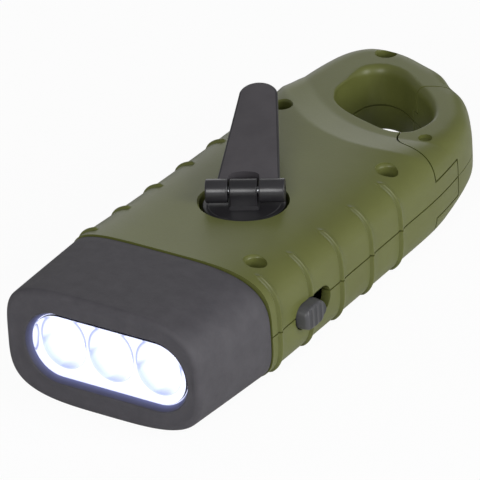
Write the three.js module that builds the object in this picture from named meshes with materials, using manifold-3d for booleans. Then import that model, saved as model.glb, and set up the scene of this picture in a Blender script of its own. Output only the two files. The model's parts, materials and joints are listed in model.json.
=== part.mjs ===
// Hand crank flashlight with a carabiner ring at its tail, in millimetres.
// +X is the switch side, +Y runs from the lamp to the ring and +Z is the crank side.
// The origin is on the flat underside, on the centreline, below the first grip rib.

import * as THREE from 'three';
import { mergeVertices } from 'three/addons/utils/BufferGeometryUtils.js';
import Module from 'manifold-3d';

const wasm = await Module();
wasm.setup();

// Shared fits
const CLEARANCE = 0.3;
const RUNNING_GAP = 0.1;
const SEAM = 0.2;
const OVERRUN = 1;
const WELD = 0.0001;

// Shells
const BODY_HALF_WIDTH = 24.5;
const SHELL_FRONT_Y = -3.4;
const SHELL_LENGTH = 109;
const SHELL_WALL = 2;
const PARTING_Z = 11.8;
const CROWN_FRONT = 13.6;
const CROWN_REAR = 11.3;
const CROWN_FULLNESS_SHARE = 5.3;
const CROWN_END_Y = 52;
const BELLY_DEPTH = 12.3;
const BELLY_FULLNESS_SHARE = 3.9;
const BELLY_END_Y = 64;
const BAND_X = 7.5;
const BAND_Y = 58.2;
const BAND_SWEEP_R = 27;
const BAND_RUN = 9;
const BAND_DROP = 2;
const RING_CROWN_Y = 76;
const RING_CROWN_FULLNESS_SHARE = 3.2;
const RING_UNDER_Y = 86;
const RING_UNDER = 6.2;
const RING_UNDER_FULLNESS_SHARE = 4.4;
const RING_EDGE_R = 5.6;

// Grip ribs
const RIB_COUNT = 5;
const RIB_PITCH = 12;
const RIB_HEIGHT = 0.55;
const RIB_FRONT = 1.5;
const RIB_CREST_FRONT = 0.9;
const RIB_CREST_REAR = 0.3;
const RIB_REAR = 1.9;
const RIB_TOP = 10.8;
const RIB_BOTTOM = 10.4;
const RIB_FADE = 1.8;

// Ring hole
const HOLE_X = 0;
const HOLE_Y = 82;
const HOLE_HALF_WIDTH = 13.2;
const HOLE_HALF_LENGTH = 13;
const HOLE_FLARE = 1.7;
const HOLE_FLARE_DEPTH = 2.2;

// Gate
const GATE_PIVOT_X = 16;
const GATE_PIVOT_Y = 70.4;
const GATE_SEAM_X = 23;
const GATE_SEAM_Y = 62.7;
const GATE_NOSE_R = 5.9;
const GATE_REACH = 24;
const GATE_LIP_REACH = 1.8;
const GATE_LIP_DEPTH = 2.4;
const GATE_LIP_HALF_HEIGHT = 2.6;
const GATE_LIP_ANGLE_SHARE = 0.7;
const GATE_NOSE_END_SHARE = 0.94;
const GATE_ARC_START_SHARE = 0.83;
const TONGUE_ROUND_SHARE = 1.15;
const TONGUE_END = 3.2;
const TONGUE_TOP = 4;
const TONGUE_BOTTOM = 4.6;
const GATE_PIN_R = 1.2;
const GATE_PIN_COVER = 1.2;
const GATE_WELL_R = 1.5;
const GATE_WELL_DEPTH = 0.9;
const GATE_SPRING_R = 2.1;
const GATE_SPRING_WIRE_R = 0.3;
const GATE_SPRING_TURNS = 3;
const GATE_SPRING_HEIGHT = 3.2;

// Case screws
const FRONT_SCREW_X = 16.6;
const FRONT_SCREW_Y = 3.5;
const REAR_RIGHT_SCREW_X = 17.5;
const REAR_RIGHT_SCREW_Y = 52.8;
const REAR_LEFT_SCREW_X = -17.4;
const REAR_LEFT_SCREW_Y = 66.4;
const RING_SCREW_X = -12.3;
const RING_SCREW_Y = 101.1;
const WELL_R = 2.2;
const POST_WALL = 1.1;
const SCREW_HEAD_R = 1.9;
const SCREW_HEAD_HEIGHT = 1.4;
const SCREW_SHANK_R = 0.9;
const SCREW_LENGTH = 5.5;
const SCREW_SEAT_Z = 14.6;
const SCREW_SLOT_WIDTH = 0.5;
const SCREW_SLOT_DEPTH = 0.5;

// Lamp head
const HEAD_LENGTH = 25.4;
const HEAD_REAR_HALF_WIDTH = 24.2;
const HEAD_FACE_HALF_WIDTH = 23.3;
const HEAD_FACE_HALF_HEIGHT = 13;
const HEAD_FACE_Z = 0.9;
const HEAD_FACE_FULLNESS_SHARE = 4.2;
const HEAD_EDGE_R = 1.2;
const NECK_LIP = 1;
const NECK_WALL = 1.6;
const NECK_FLANGE = 1.4;

// Lens, reflector and lamps
const LENS_HALF_LENGTH = 20.6;
const LENS_HALF_HEIGHT = 9;
const LENS_OVERLAP = 0.9;
const LENS_LIP = 1.6;
const LENS_FLANGE = 1.4;
const LENS_SINK = 0.4;
const LENS_BEVEL = 1;
const REFLECTOR_DEPTH = 9;
const CUP_R = 6.5;
const CUP_PITCH = 11.4;
const CUP_THROAT_R = 3.2;
const LED_R = 2.5;
const LED_FLANGE_R = 2.9;
const LED_FLANGE_HEIGHT = 0.9;
const LED_HEIGHT = 7.4;
const LED_BOARD_THICKNESS = 1.2;
const LED_BOARD_HALF_LENGTH = 17;
const LED_BOARD_HALF_HEIGHT = 6;

// Crank disc and its hinge
const CRANK_Y = 24.8;
const DISC_R = 8.7;
const DISC_THICKNESS = 1.9;
const DISC_TOP = 11.4;
const RECESS_R = 9.4;
const RECESS_FLOOR = 2;
const SHAFT_R = 3;
const SHAFT_STEP_R = 2;
const BUSHING_R = 4.3;
const BUSHING_FLANGE_R = 5.4;
const BUSHING_FLANGE = 0.8;
const HINGE_ANGLE_SHARE = 0.16;
const HINGE_R = 2.5;
const HINGE_RISE = 2.85;
const HINGE_LENGTH = 17.2;
const KNUCKLE_WIDTH = 5.8;
const HINGE_PIN_R = 0.9;

// Crank arm and knob
const ARM_RAISE_SHARE = 0.0722;
const ARM_LENGTH = 33.2;
const ARM_THICKNESS = 2.2;
const ARM_OFFSET = 0.4;
const ARM_ROOT_HALF_WIDTH = 6.7;
const ARM_ROOT_SHIFT = 0.9;
const ARM_TIP_R = 4.1;
const ARM_TIP_SHIFT = 1.5;
const ARM_SLOT_DEPTH = 4.2;
const KNOB_R = 3.7;
const KNOB_LENGTH = 4.4;
const KNOB_WAIST_R = 3.2;
const KNOB_STEM_R = 1.5;
const KNOB_SCREW_R = 0.75;
const KNOB_SCREW_HEAD_R = 1.9;
const KNOB_SCREW_HEAD_HEIGHT = 0.8;

// Gear train
const GEAR_MODULE = 0.6;
const DRIVE_TEETH = 40;
const SECOND_WHEEL_TEETH = 36;
const THIRD_WHEEL_TEETH = 32;
const PINION_TEETH = 10;
const WHEEL_ADDENDUM_SHARE = 0.85;
const PINION_ADDENDUM_SHARE = 1;
const DEDENDUM_SHARE = 1.25;
const TOOTH_BACKLASH = 0.16;
const PRESSURE_ANGLE = Math.PI / 9;
const SECOND_GEAR_ANGLE = 1.02;
const THIRD_GEAR_ANGLE = 2.99;
const ROTOR_ANGLE = 1.9;
const GEAR_GAP = 0.6;
const WHEEL_THICKNESS = 1.8;
const DRIVE_THICKNESS = 2.6;
const AXLE_R = 1;
const AXLE_SEAT = 3;
const CLIP_R = 3.4;
const CLIP_THICKNESS = 0.5;

// Gear plate
const PLATE_Z = 4.6;
const PLATE_THICKNESS = 1.4;
const PLATE_LEFT_X = -17.6;
const PLATE_RIGHT_X = 15;
const PLATE_FRONT_Y = 17;
const PLATE_REAR_Y = 60.5;
const PLATE_NOTCH_X = 8;
const PLATE_NOTCH_Y = 50.2;
const PLATE_CORNER_R = 4;
const PLATE_SCREW_X = 11.4;
const PLATE_SCREW_FRONT_Y = 20.6;
const PLATE_SCREW_SIDE_Y = 46;
const PLATE_SCREW_REAR_X = -0.5;
const PLATE_SCREW_REAR_Y = 57.2;
const PLATE_POST_R = 2.4;
const PLATE_SCREW_R = 0.8;
const PLATE_SCREW_HEAD_R = 1.6;
const PLATE_SCREW_HEAD_HEIGHT = 0.9;
const PLATE_SCREW_LENGTH = 2.6;

// Generator
const ROTOR_R = 5.1;
const ROTOR_HEIGHT = 4.8;
const AIR_GAP = 0.5;
const STATOR_WALL = 0.8;
const STATOR_FLANGE = 0.6;
const COIL_DEPTH = 1.8;
const STATOR_POST_R = 1.1;
const STATOR_POST_ANGLES = [0.15, 1.9, 3.45];

// Battery, boards and switch
const BATTERY_R = 6.6;
const BATTERY_LENGTH = 19;
const BATTERY_Y = 4.9;
const BATTERY_Z = 12.2;
const CRADLE_WIDTH = 2;
const CRADLE_REACH_SHARE = 0.7;
const CRADLE_DEPTH_SHARE = 0.6;
const BOARD_THICKNESS = 1.2;
const BOARD_LENGTH = 15;
const BOARD_HEIGHT = 10;
const BOARD_X = 16.4;
const BOARD_Y = 17.4;
const BOARD_Z = 11.8;
const WIRE_R = 0.5;
const WIRE_BEND_SHARE = 0.2;
const WIRE_LANE_X = 10.5;
const LAMP_WIRE_Z = 16;
const WIRE_TURN_Y = 10.4;
const WIRE_BOARD_Y = 12.6;
const COIL_WIRE_Z = 12.9;
const COIL_WIRE_NEAR_X = 10;
const COIL_WIRE_NEAR_Y = 45;
const COIL_WIRE_LANE_X = 17;
const COIL_WIRE_LANE_Y = 36;
const SWITCH_SLOT_FRONT_Y = 5.2;
const SWITCH_SLOT_REAR_Y = 19.2;
const SWITCH_SLOT_TOP = 2.9;
const SWITCH_SLOT_BOTTOM = 3.9;
const SWITCH_TRAVEL = 4.4;
const SWITCH_PROUD = 2.4;
const SWITCH_GRIP_COUNT = 4;
const SWITCH_GRIP_PITCH = 1.9;
const SWITCH_GRIP_DEPTH = 0.4;
const SWITCH_BASE_X = 20.9;
const SWITCH_BASE_THICKNESS = 0.6;
const SWITCH_BASE_MARGIN = 1.1;
const SWITCH_BODY_Y = 13.4;
const SWITCH_BODY_LENGTH = 6.4;
const SWITCH_BODY_HEIGHT = 4.4;

// Turns and steps
const SMALL_R = 3.4;
const SMALL_STEPS = 12;
const ROUND_STEPS = 24;
const DISC_STEPS = 36;
const SHELL_COLUMNS = 14;
const CAVITY_COLUMNS = 9;
const HEAD_STEPS = 40;
const HALF_TURN = Math.PI;
const FULL_TURN = 2 * Math.PI;

// Plan outline of the shells: shares of the half width and of the shell's length from its front
const OUTLINE_SHARES = [
  [-0.996, -0.3], [-0.996, 0], [-1, 0.247], [-1, 0.474], [-1.008, 0.747], [-1.015, 0.802],
  [-0.988, 0.873], [-0.93, 0.933], [-0.844, 0.968], [-0.723, 0.991], [-0.545, 1], [-0.327, 0.995],
  [-0.099, 0.977], [0.138, 0.954], [0.325, 0.918], [0.523, 0.887], [0.685, 0.841],
  [0.795, 0.8], [0.857, 0.755], [0.907, 0.689], [0.945, 0.613], [0.964, 0.472], [0.988, 0.141],
  [0.992, 0], [0.992, -0.3],
];

// Outline of the ring hole: shares of its half width and half length about its middle
const HOLE_SHARES = [
  [-0.98, -0.02], [-0.99, 0.3], [-0.98, 0.58], [-0.9, 0.84], [-0.68, 0.99], [-0.36, 0.95],
  [0.04, 0.69], [0.42, 0.43], [0.73, 0.12], [0.93, -0.24], [0.97, -0.52], [0.9, -0.78],
  [0.68, -0.92], [0.42, -0.92], [0.12, -0.84], [-0.2, -0.74], [-0.52, -0.6], [-0.77, -0.42],
  [-0.9, -0.22],
];

// Rows of the ring's skin, as shares of the shell's length from its front
const REAR_ROW_SHARES = [
  0.53, 0.57, 0.605, 0.64, 0.675, 0.71, 0.75, 0.79, 0.83, 0.865, 0.9, 0.93, 0.955, 0.975,
  0.988, 0.997,
];
const CAVITY_ROW_SHARES = [
  -0.02, 0.16, 0.34, 0.5, 0.6, 0.68, 0.76, 0.83, 0.88, 0.93, 0.96, 0.98,
];

// Finishes
const olivePlastic = { color: '#66694a', roughness: 0.55, metalness: 0 };
const darkRubber = { color: '#48464a', roughness: 0.7, metalness: 0 };
const blackPlastic = { color: '#333236', roughness: 0.35, metalness: 0 };
const switchPlastic = { color: '#56565a', roughness: 0.5, metalness: 0 };
const clearPlastic = { color: '#e8eef2', roughness: 0.05, metalness: 0, opacity: 0.35, transparent: true };
const chromedPlastic = { color: '#d9dcde', roughness: 0.08, metalness: 1 };
const ledResin = { color: '#f4f8ff', roughness: 0.1, metalness: 0 };
const boardLaminate = { color: '#2f6b3a', roughness: 0.5, metalness: 0 };
const gearPlastic = { color: '#e6e2d6', roughness: 0.45, metalness: 0 };
const steel = { color: '#b4b6b8', roughness: 0.3, metalness: 1 };
const magnetMetal = { color: '#55565a', roughness: 0.4, metalness: 0.8 };
const copperWire = { color: '#b4652c', roughness: 0.35, metalness: 1 };
const wireCover = { color: '#a3302a', roughness: 0.45, metalness: 0 };
const cellWrap = { color: '#3f6f9e', roughness: 0.4, metalness: 0 };

// Small numeric helpers
const clamp01 = (t) => Math.min(Math.max(t, 0), 1);
const ease = (t) => clamp01(t) ** 2 * (3 - 2 * clamp01(t));
const mix = (a, b, t) => a + (b - a) * t;
const between = (from, to, value) => (value - from) / (to - from);

// Solids from three.js geometry

function solid(geometry) {
  geometry.deleteAttribute('normal');
  geometry.deleteAttribute('uv');
  const merged = mergeVertices(geometry, WELD);
  const vertProperties = new Float32Array(merged.attributes.position.array);
  const triVerts = trueTriangles(merged.index.array);
  if (signedVolume(vertProperties, triVerts) < 0) triVerts.reverse();
  return new wasm.Manifold(new wasm.Mesh({ numProp: 3, vertProperties, triVerts }));
}

// Welding leaves triangles without area where a turned profile meets its axis
function trueTriangles(index) {
  const kept = [];
  for (let i = 0; i < index.length; i += 3) {
    const [a, b, c] = index.slice(i, i + 3);
    if (a !== b && b !== c && c !== a) kept.push(a, b, c);
  }
  return new Uint32Array(kept);
}

function signedVolume(positions, triangles) {
  const corner = (i) => new THREE.Vector3().fromArray(positions, 3 * triangles[i]);
  let total = 0;
  for (let i = 0; i < triangles.length; i += 3) {
    total += corner(i).dot(corner(i + 1).cross(corner(i + 2))) / 6;
  }
  return total;
}

function geometryOf(manifold) {
  const { vertProperties, triVerts } = manifold.getMesh();
  const geometry = new THREE.BufferGeometry();
  geometry.setAttribute('position', new THREE.BufferAttribute(vertProperties, 3));
  geometry.setIndex(new THREE.BufferAttribute(triVerts, 1));
  return geometry;
}

const joined = (first, ...rest) => rest.reduce((sum, part) => sum.add(part), first);
const cutBy = (first, ...rest) => rest.reduce((left, part) => left.subtract(part), first);

function block(x0, x1, y0, y1, z0, z1) {
  const geometry = new THREE.BoxGeometry(x1 - x0, y1 - y0, z1 - z0);
  geometry.translate((x0 + x1) / 2, (y0 + y1) / 2, (z0 + z1) / 2);
  return solid(geometry);
}

const stepsFor = (radius) => (radius < SMALL_R ? SMALL_STEPS : ROUND_STEPS);

function post(x, y, z0, z1, radius, steps = stepsFor(radius)) {
  const geometry = new THREE.CylinderGeometry(radius, radius, z1 - z0, steps);
  geometry.rotateX(HALF_TURN / 2);
  geometry.translate(x, y, (z0 + z1) / 2);
  return solid(geometry);
}

function barrel(x0, x1, y, z, radius, steps = stepsFor(radius)) {
  const geometry = new THREE.CylinderGeometry(radius, radius, x1 - x0, steps);
  geometry.rotateZ(HALF_TURN / 2);
  geometry.translate((x0 + x1) / 2, y, z);
  return solid(geometry);
}

function prism(points, z0, z1) {
  const geometry = new THREE.ExtrudeGeometry(new THREE.Shape(points), {
    depth: z1 - z0, bevelEnabled: false,
  });
  geometry.translate(0, 0, z0);
  return solid(geometry);
}

// A profile of [radius, height] pairs turned about the vertical through x, y
function turned(pairs, x = 0, y = 0, z = 0, steps = ROUND_STEPS) {
  const profile = pairs.map(([radius, height]) => new THREE.Vector2(radius, height));
  const geometry = new THREE.LatheGeometry(profile, steps);
  geometry.rotateX(HALF_TURN / 2);
  geometry.translate(x, y, z);
  return solid(geometry);
}

// A skin through rings of equal count, closed at both ends by a fan about its middle
function loft(rings) {
  const count = rings[0].length;
  const middle = (ring) => ring.reduce((sum, p) => sum.add(p), new THREE.Vector3()).divideScalar(count);
  const points = [...rings.flat(), middle(rings[0]), middle(rings.at(-1))];
  const first = rings.length * count;
  const last = first + 1;
  const index = [];
  for (let side = 0; side < count; side += 1) {
    const next = (side + 1) % count;
    index.push(first, side, next);
    index.push(last, first - count + next, first - count + side);
    for (let row = 0; row < rings.length - 1; row += 1) {
      const a = row * count + side;
      const b = row * count + next;
      index.push(a, a + count, b, b, a + count, b + count);
    }
  }
  const geometry = new THREE.BufferGeometry().setFromPoints(points);
  geometry.setIndex(index);
  return solid(geometry);
}

// Plan outline of the shells

function smoothLine(pairs, closed, steps) {
  const points = pairs.map(([x, y]) => new THREE.Vector3(x, y, 0));
  return new THREE.CatmullRomCurve3(points, closed, 'centripetal').getPoints(steps);
}

const outline = smoothLine(
  OUTLINE_SHARES.map(([across, along]) => [across * BODY_HALF_WIDTH, SHELL_FRONT_Y + along * SHELL_LENGTH]),
  false, 6 * OUTLINE_SHARES.length,
);

function distanceTo(line, x, y) {
  let least = Infinity;
  for (let i = 0; i < line.length - 1; i += 1) {
    const a = line[i];
    const dx = line[i + 1].x - a.x;
    const dy = line[i + 1].y - a.y;
    const t = clamp01(((x - a.x) * dx + (y - a.y) * dy) / (dx * dx + dy * dy));
    least = Math.min(least, Math.hypot(a.x + t * dx - x, a.y + t * dy - y));
  }
  return least;
}

function crossings(y) {
  const found = [];
  for (let i = 0; i < outline.length - 1; i += 1) {
    const [a, b] = [outline[i], outline[i + 1]];
    if ((a.y - y) * (b.y - y) <= 0 && a.y !== b.y) found.push(mix(a.x, b.x, between(a.y, b.y, y)));
  }
  return found.length < 2 ? null : [Math.min(...found), Math.max(...found)];
}

// The stretch of the row at y that lies at least the inset inside the outline
function spanAt(y, inset) {
  const limits = crossings(y);
  if (!limits || inset === 0) return limits;
  const samples = 40;
  const deep = [];
  for (let i = 1; i < samples; i += 1) {
    const x = mix(limits[0], limits[1], i / samples);
    if (distanceTo(outline, x, y) > inset) deep.push(x);
  }
  if (deep.length < 2) return null;
  const edge = (outside, inside) => {
    let [from, to] = [outside, inside];
    for (let i = 0; i < samples / 2; i += 1) {
      const x = (from + to) / 2;
      if (distanceTo(outline, x, y) > inset) to = x;
      else from = x;
    }
    return to;
  };
  return [edge(limits[0], deep[0]), edge(limits[1], deep.at(-1))];
}

// Heights of the shells' skin above and below the parting plane

const TOP = {
  tailward: (y) => ease(between(CROWN_END_Y, RING_CROWN_Y, y)),
  bodyPower: CROWN_FULLNESS_SHARE,
  ringPower: RING_CROWN_FULLNESS_SHARE,
  height(x, y) {
    const along = clamp01(between(SHELL_FRONT_Y, BAND_Y, y));
    const plateau = mix(CROWN_FRONT, CROWN_REAR, 1 - (1 - along) ** 2);
    const band = BAND_Y + (x - BAND_X) ** 2 / (2 * BAND_SWEEP_R);
    return plateau - BAND_DROP * clamp01((y - band) / BAND_RUN);
  },
};

const UNDERSIDE = {
  tailward: (y) => ease(between(BELLY_END_Y, RING_UNDER_Y, y)),
  bodyPower: BELLY_FULLNESS_SHARE,
  ringPower: RING_UNDER_FULLNESS_SHARE,
  height(x, y) {
    return mix(BELLY_DEPTH, RING_UNDER, this.tailward(y));
  },
};

function roundedHeight(side, x, y, inset) {
  const edge = mix(BODY_HALF_WIDTH, RING_EDGE_R, side.tailward(y)) - inset;
  const power = mix(side.bodyPower, side.ringPower, side.tailward(y));
  const depth = clamp01((distanceTo(outline, x, y) - inset) / edge);
  return (side.height(x, y) - inset) * (1 - (1 - depth) ** power) ** (1 / power);
}

function ribRise(y) {
  const nearest = Math.min(Math.max(Math.round(y / RIB_PITCH), 0), RIB_COUNT - 1) * RIB_PITCH;
  const front = between(nearest - RIB_FRONT, nearest - RIB_CREST_FRONT, y);
  const rear = between(nearest + RIB_REAR, nearest + RIB_CREST_REAR, y);
  return RIB_HEIGHT * Math.min(clamp01(front), clamp01(rear));
}

function ribbedRing(ring, y) {
  const rise = ribRise(y);
  return ring.map((point, i) => {
    const before = ring.at(i - 1);
    const after = ring[(i + 1) % ring.length];
    const outward = new THREE.Vector3(before.z - after.z, 0, after.x - before.x).normalize();
    const height = point.z - PARTING_Z;
    const weight = ease((RIB_TOP - height) / RIB_FADE) * ease((height + RIB_BOTTOM) / RIB_FADE);
    return point.clone().addScaledVector(outward, rise * weight);
  });
}

function sectionRing(y, span, columns, inset, ribbed) {
  const middle = (span[0] + span[1]) / 2;
  const half = (span[1] - span[0]) / 2;
  const ring = [];
  for (let i = 0; i < 2 * columns; i += 1) {
    const x = middle - half * Math.cos((HALF_TURN * i) / columns);
    const end = i % columns === 0;
    const height = i < columns ? roundedHeight(TOP, x, y, inset) : -roundedHeight(UNDERSIDE, x, y, inset);
    ring.push(new THREE.Vector3(x, y, PARTING_Z + (end ? 0 : height)));
  }
  return ribbed && ribRise(y) > 0 ? ribbedRing(ring, y) : ring;
}

function hull(rows, columns, inset, ribbed) {
  const rings = [];
  for (const y of rows) {
    const span = spanAt(y, inset);
    if (span) rings.push(sectionRing(y, span, columns, inset, ribbed));
  }
  return loft(rings);
}

const rowsOf = (shares) => shares.map((share) => SHELL_FRONT_Y + share * SHELL_LENGTH);

function skinRows() {
  const rows = [SHELL_FRONT_Y];
  for (let i = 0; i < RIB_COUNT; i += 1) {
    const y = i * RIB_PITCH;
    rows.push(y - RIB_FRONT, y - RIB_CREST_FRONT, y + RIB_CREST_REAR, y + RIB_REAR);
  }
  return [...rows, ...rowsOf(REAR_ROW_SHARES)];
}

const ROOM = BODY_HALF_WIDTH * 2;
const SKY = PARTING_Z + CROWN_FRONT * 2;
const TAIL_Y = SHELL_FRONT_Y + SHELL_LENGTH;
const halfSpace = (z0, z1) => block(-ROOM, ROOM, SHELL_FRONT_Y - ROOM, TAIL_Y + OVERRUN, z0, z1);
const skin = hull(skinRows(), SHELL_COLUMNS, 0, true).intersect(halfSpace(0, SKY));
const cavity = hull(rowsOf(CAVITY_ROW_SHARES), CAVITY_COLUMNS, SHELL_WALL, false)
  .subtract(halfSpace(-ROOM, SHELL_WALL));

// Ring hole with flared edges

const holeLine = smoothLine(
  HOLE_SHARES.map(([across, along]) => [HOLE_X + across * HOLE_HALF_WIDTH, HOLE_Y + along * HOLE_HALF_LENGTH]),
  true, 2 * HOLE_SHARES.length,
).slice(0, -1);

// The points of a closed line moved outward; the hole's line runs clockwise from above
function spread(line, distance) {
  return line.map((point, i) => {
    const before = line.at(i - 1);
    const after = line[(i + 1) % line.length];
    const out = new THREE.Vector3(before.y - after.y, after.x - before.x, 0).normalize();
    return point.clone().addScaledVector(out, distance);
  });
}

function holeColumn(extra) {
  const top = PARTING_Z + CROWN_REAR - BAND_DROP;
  const bottom = PARTING_Z - RING_UNDER;
  const levels = [
    [bottom - ROOM, HOLE_FLARE], [bottom, HOLE_FLARE], [bottom + HOLE_FLARE_DEPTH / 4, HOLE_FLARE / 3],
    [bottom + HOLE_FLARE_DEPTH, 0], [top - HOLE_FLARE_DEPTH, 0],
    [top - HOLE_FLARE_DEPTH / 4, HOLE_FLARE / 3], [top, HOLE_FLARE], [top + ROOM, HOLE_FLARE],
  ];
  return loft(levels.map(([z, flare]) => spread(holeLine, flare + extra).map((p) => p.setZ(z))));
}

// Gate: a sector of the ring that turns about a vertical pin

const gateLine = new THREE.Vector2(GATE_SEAM_X - GATE_PIVOT_X, GATE_SEAM_Y - GATE_PIVOT_Y);
const gateFootAngle = gateLine.angle() - Math.acos(GATE_NOSE_R / gateLine.length());

const aboutPivot = (radius, angle) => new THREE.Vector2(
  GATE_PIVOT_X + radius * Math.cos(angle), GATE_PIVOT_Y + radius * Math.sin(angle),
);

// Plan of the gate: a straight seam that runs into an arc about the pin, then through the hole
// to the arc that the free end moves on. A positive margin makes the plan larger.
function gatePlan(margin) {
  const nose = GATE_NOSE_R + margin;
  const reach = GATE_REACH + margin;
  const steps = ROUND_STEPS / 2;
  const along = new THREE.Vector2(-Math.sin(gateFootAngle), Math.cos(gateFootAngle));
  const points = [aboutPivot(nose, gateFootAngle).addScaledVector(along, GATE_REACH)];
  for (let i = 0; i <= steps; i += 1) {
    points.push(aboutPivot(nose, HALF_TURN * mix(gateFootAngle / HALF_TURN, GATE_NOSE_END_SHARE, i / steps)));
  }
  points.push(new THREE.Vector2(HOLE_X, HOLE_Y));
  for (let i = 0; i <= steps; i += 1) {
    points.push(aboutPivot(reach, HALF_TURN * mix(GATE_ARC_START_SHARE, 0.5, i / steps)));
  }
  points.push(new THREE.Vector2(ROOM, GATE_PIVOT_Y + reach));
  return points;
}

// Plan of the tongue that the gate's two cheeks straddle, round about the pin up to an angle
function tonguePlan(margin, lastAngle) {
  const radius = TONGUE_END + margin;
  const front = GATE_PIVOT_Y - GATE_REACH;
  const points = [
    new THREE.Vector2(ROOM, front), new THREE.Vector2(ROOM, GATE_PIVOT_Y + radius),
  ];
  const steps = ROUND_STEPS / 3;
  for (let i = 0; i <= steps; i += 1) {
    points.push(aboutPivot(radius, mix(HALF_TURN / 2, lastAngle, i / steps)));
  }
  points.push(new THREE.Vector2(points.at(-1).x, front));
  return points;
}

const tongueZone = (margin, lastAngle) => prism(
  tonguePlan(margin, lastAngle), PARTING_Z - TONGUE_BOTTOM - margin, PARTING_Z + TONGUE_TOP + margin,
);

// Room between the cheeks, open in front of the pin so that the gate can turn past the tongue
const tongueRoom = () => tongueZone(CLEARANCE / 2, HALF_TURN).add(block(
  GATE_PIVOT_X - GATE_REACH, GATE_PIVOT_X, GATE_PIVOT_Y - GATE_REACH, GATE_PIVOT_Y,
  PARTING_Z - TONGUE_BOTTOM - CLEARANCE / 2, PARTING_Z + TONGUE_TOP + CLEARANCE / 2,
));

const gateZone = (margin) => prism(gatePlan(margin), -OVERRUN, SKY);

// Lip on the gate's free end that closes against the inside of the ring
function lipZone(margin) {
  const steps = ROUND_STEPS / 4;
  const start = HALF_TURN * GATE_LIP_ANGLE_SHARE;
  const inner = GATE_REACH - OVERRUN;
  const outer = GATE_REACH + GATE_LIP_REACH + margin;
  const end = start - (GATE_LIP_DEPTH + margin) / GATE_REACH;
  const arc = (radius, from, to) => Array.from(
    { length: steps + 1 }, (_, i) => aboutPivot(radius, mix(from, to, i / steps)),
  );
  const far = HALF_TURN * GATE_ARC_START_SHARE;
  const points = [...arc(inner, end, far), ...arc(outer, far, end)];
  const half = GATE_LIP_HALF_HEIGHT + margin;
  return prism(points, PARTING_Z - half, PARTING_Z + half);
}

const ringBody = skin.subtract(holeColumn(0));
const tongue = tongueZone(-CLEARANCE / 2, HALF_TURN * TONGUE_ROUND_SHARE);
const gateRoom = gateZone(CLEARANCE / 2).subtract(tongue).add(lipZone(CLEARANCE));
const gateSolid = ringBody.intersect(gateZone(-CLEARANCE / 2).subtract(tongueRoom()).add(lipZone(0)));

// Case screws and their posts

const screwSpots = {
  case_screw_front: [FRONT_SCREW_X, FRONT_SCREW_Y],
  case_screw_rear_right: [REAR_RIGHT_SCREW_X, REAR_RIGHT_SCREW_Y],
  case_screw_rear_left: [REAR_LEFT_SCREW_X, REAR_LEFT_SCREW_Y],
  case_screw_ring: [RING_SCREW_X, RING_SCREW_Y],
};
const POST_R = WELL_R + POST_WALL;
const allScrewSpots = Object.values(screwSpots);
const screwPosts = joined(...allScrewSpots.map(([x, y]) => post(x, y, -OVERRUN, SKY, POST_R)));

function wellCut([x, y]) {
  const shaft = post(x, y, PARTING_Z - OVERRUN, SCREW_SEAT_Z, SCREW_SHANK_R + CLEARANCE);
  return post(x, y, SCREW_SEAT_Z, SKY, WELL_R).add(shaft);
}

const pilotCut = ([x, y]) => post(
  x, y, SCREW_SEAT_Z - SCREW_LENGTH - CLEARANCE, PARTING_Z + OVERRUN, SCREW_SHANK_R + RUNNING_GAP,
);

function slottedScrew(x, y, seatZ, size) {
  const { shankR, length, headR, headHeight } = size;
  const head = seatZ + RUNNING_GAP;
  const body = turned([
    [0, head - length], [shankR, head - length], [shankR, head], [headR, head],
    [headR, head + headHeight], [0, head + headHeight],
  ], x, y, 0, SMALL_STEPS);
  const top = head + headHeight;
  const slot = block(
    x - headR, x + headR, y - SCREW_SLOT_WIDTH / 2, y + SCREW_SLOT_WIDTH / 2,
    top - SCREW_SLOT_DEPTH, top + OVERRUN,
  );
  return body.subtract(slot);
}

// Gear places, worked out from the teeth

const pitchR = (teeth) => (GEAR_MODULE * teeth) / 2;
const meshed = ([x, y], wheel, angle) => {
  const distance = pitchR(wheel) + pitchR(PINION_TEETH);
  return [x + distance * Math.cos(angle), y + distance * Math.sin(angle)];
};
const crankSpot = [0, CRANK_Y];
const secondSpot = meshed(crankSpot, DRIVE_TEETH, SECOND_GEAR_ANGLE);
const thirdSpot = meshed(secondSpot, SECOND_WHEEL_TEETH, THIRD_GEAR_ANGLE);
const rotorSpot = meshed(thirdSpot, THIRD_WHEEL_TEETH, ROTOR_ANGLE);

const PLATE_TOP = PLATE_Z + PLATE_THICKNESS;
const THIRD_WHEEL_Z = PLATE_TOP + GEAR_GAP;
const SECOND_WHEEL_Z = THIRD_WHEEL_Z + WHEEL_THICKNESS + GEAR_GAP;
const DRIVE_Z = SECOND_WHEEL_Z + WHEEL_THICKNESS + GEAR_GAP + CLIP_THICKNESS;
const DRIVE_TOP = DRIVE_Z + DRIVE_THICKNESS;
const ROTOR_Z = SECOND_WHEEL_Z + STATOR_FLANGE;
const STATOR_Z = ROTOR_Z - STATOR_FLANGE;
const STATOR_TOP = ROTOR_Z + ROTOR_HEIGHT + STATOR_FLANGE;
const STATOR_IN_R = ROTOR_R + AIR_GAP;
const STATOR_OUT_R = STATOR_IN_R + STATOR_WALL + COIL_DEPTH + RUNNING_GAP;

function toothRadii(teeth, addendumShare) {
  const pitch = pitchR(teeth);
  const base = pitch * Math.cos(PRESSURE_ANGLE);
  const root = pitch - DEDENDUM_SHARE * GEAR_MODULE;
  const tip = pitch + addendumShare * GEAR_MODULE;
  return { pitch, base, radii: teeth > PINION_TEETH ? [root, pitch, tip] : [root, base, pitch, tip] };
}

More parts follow.
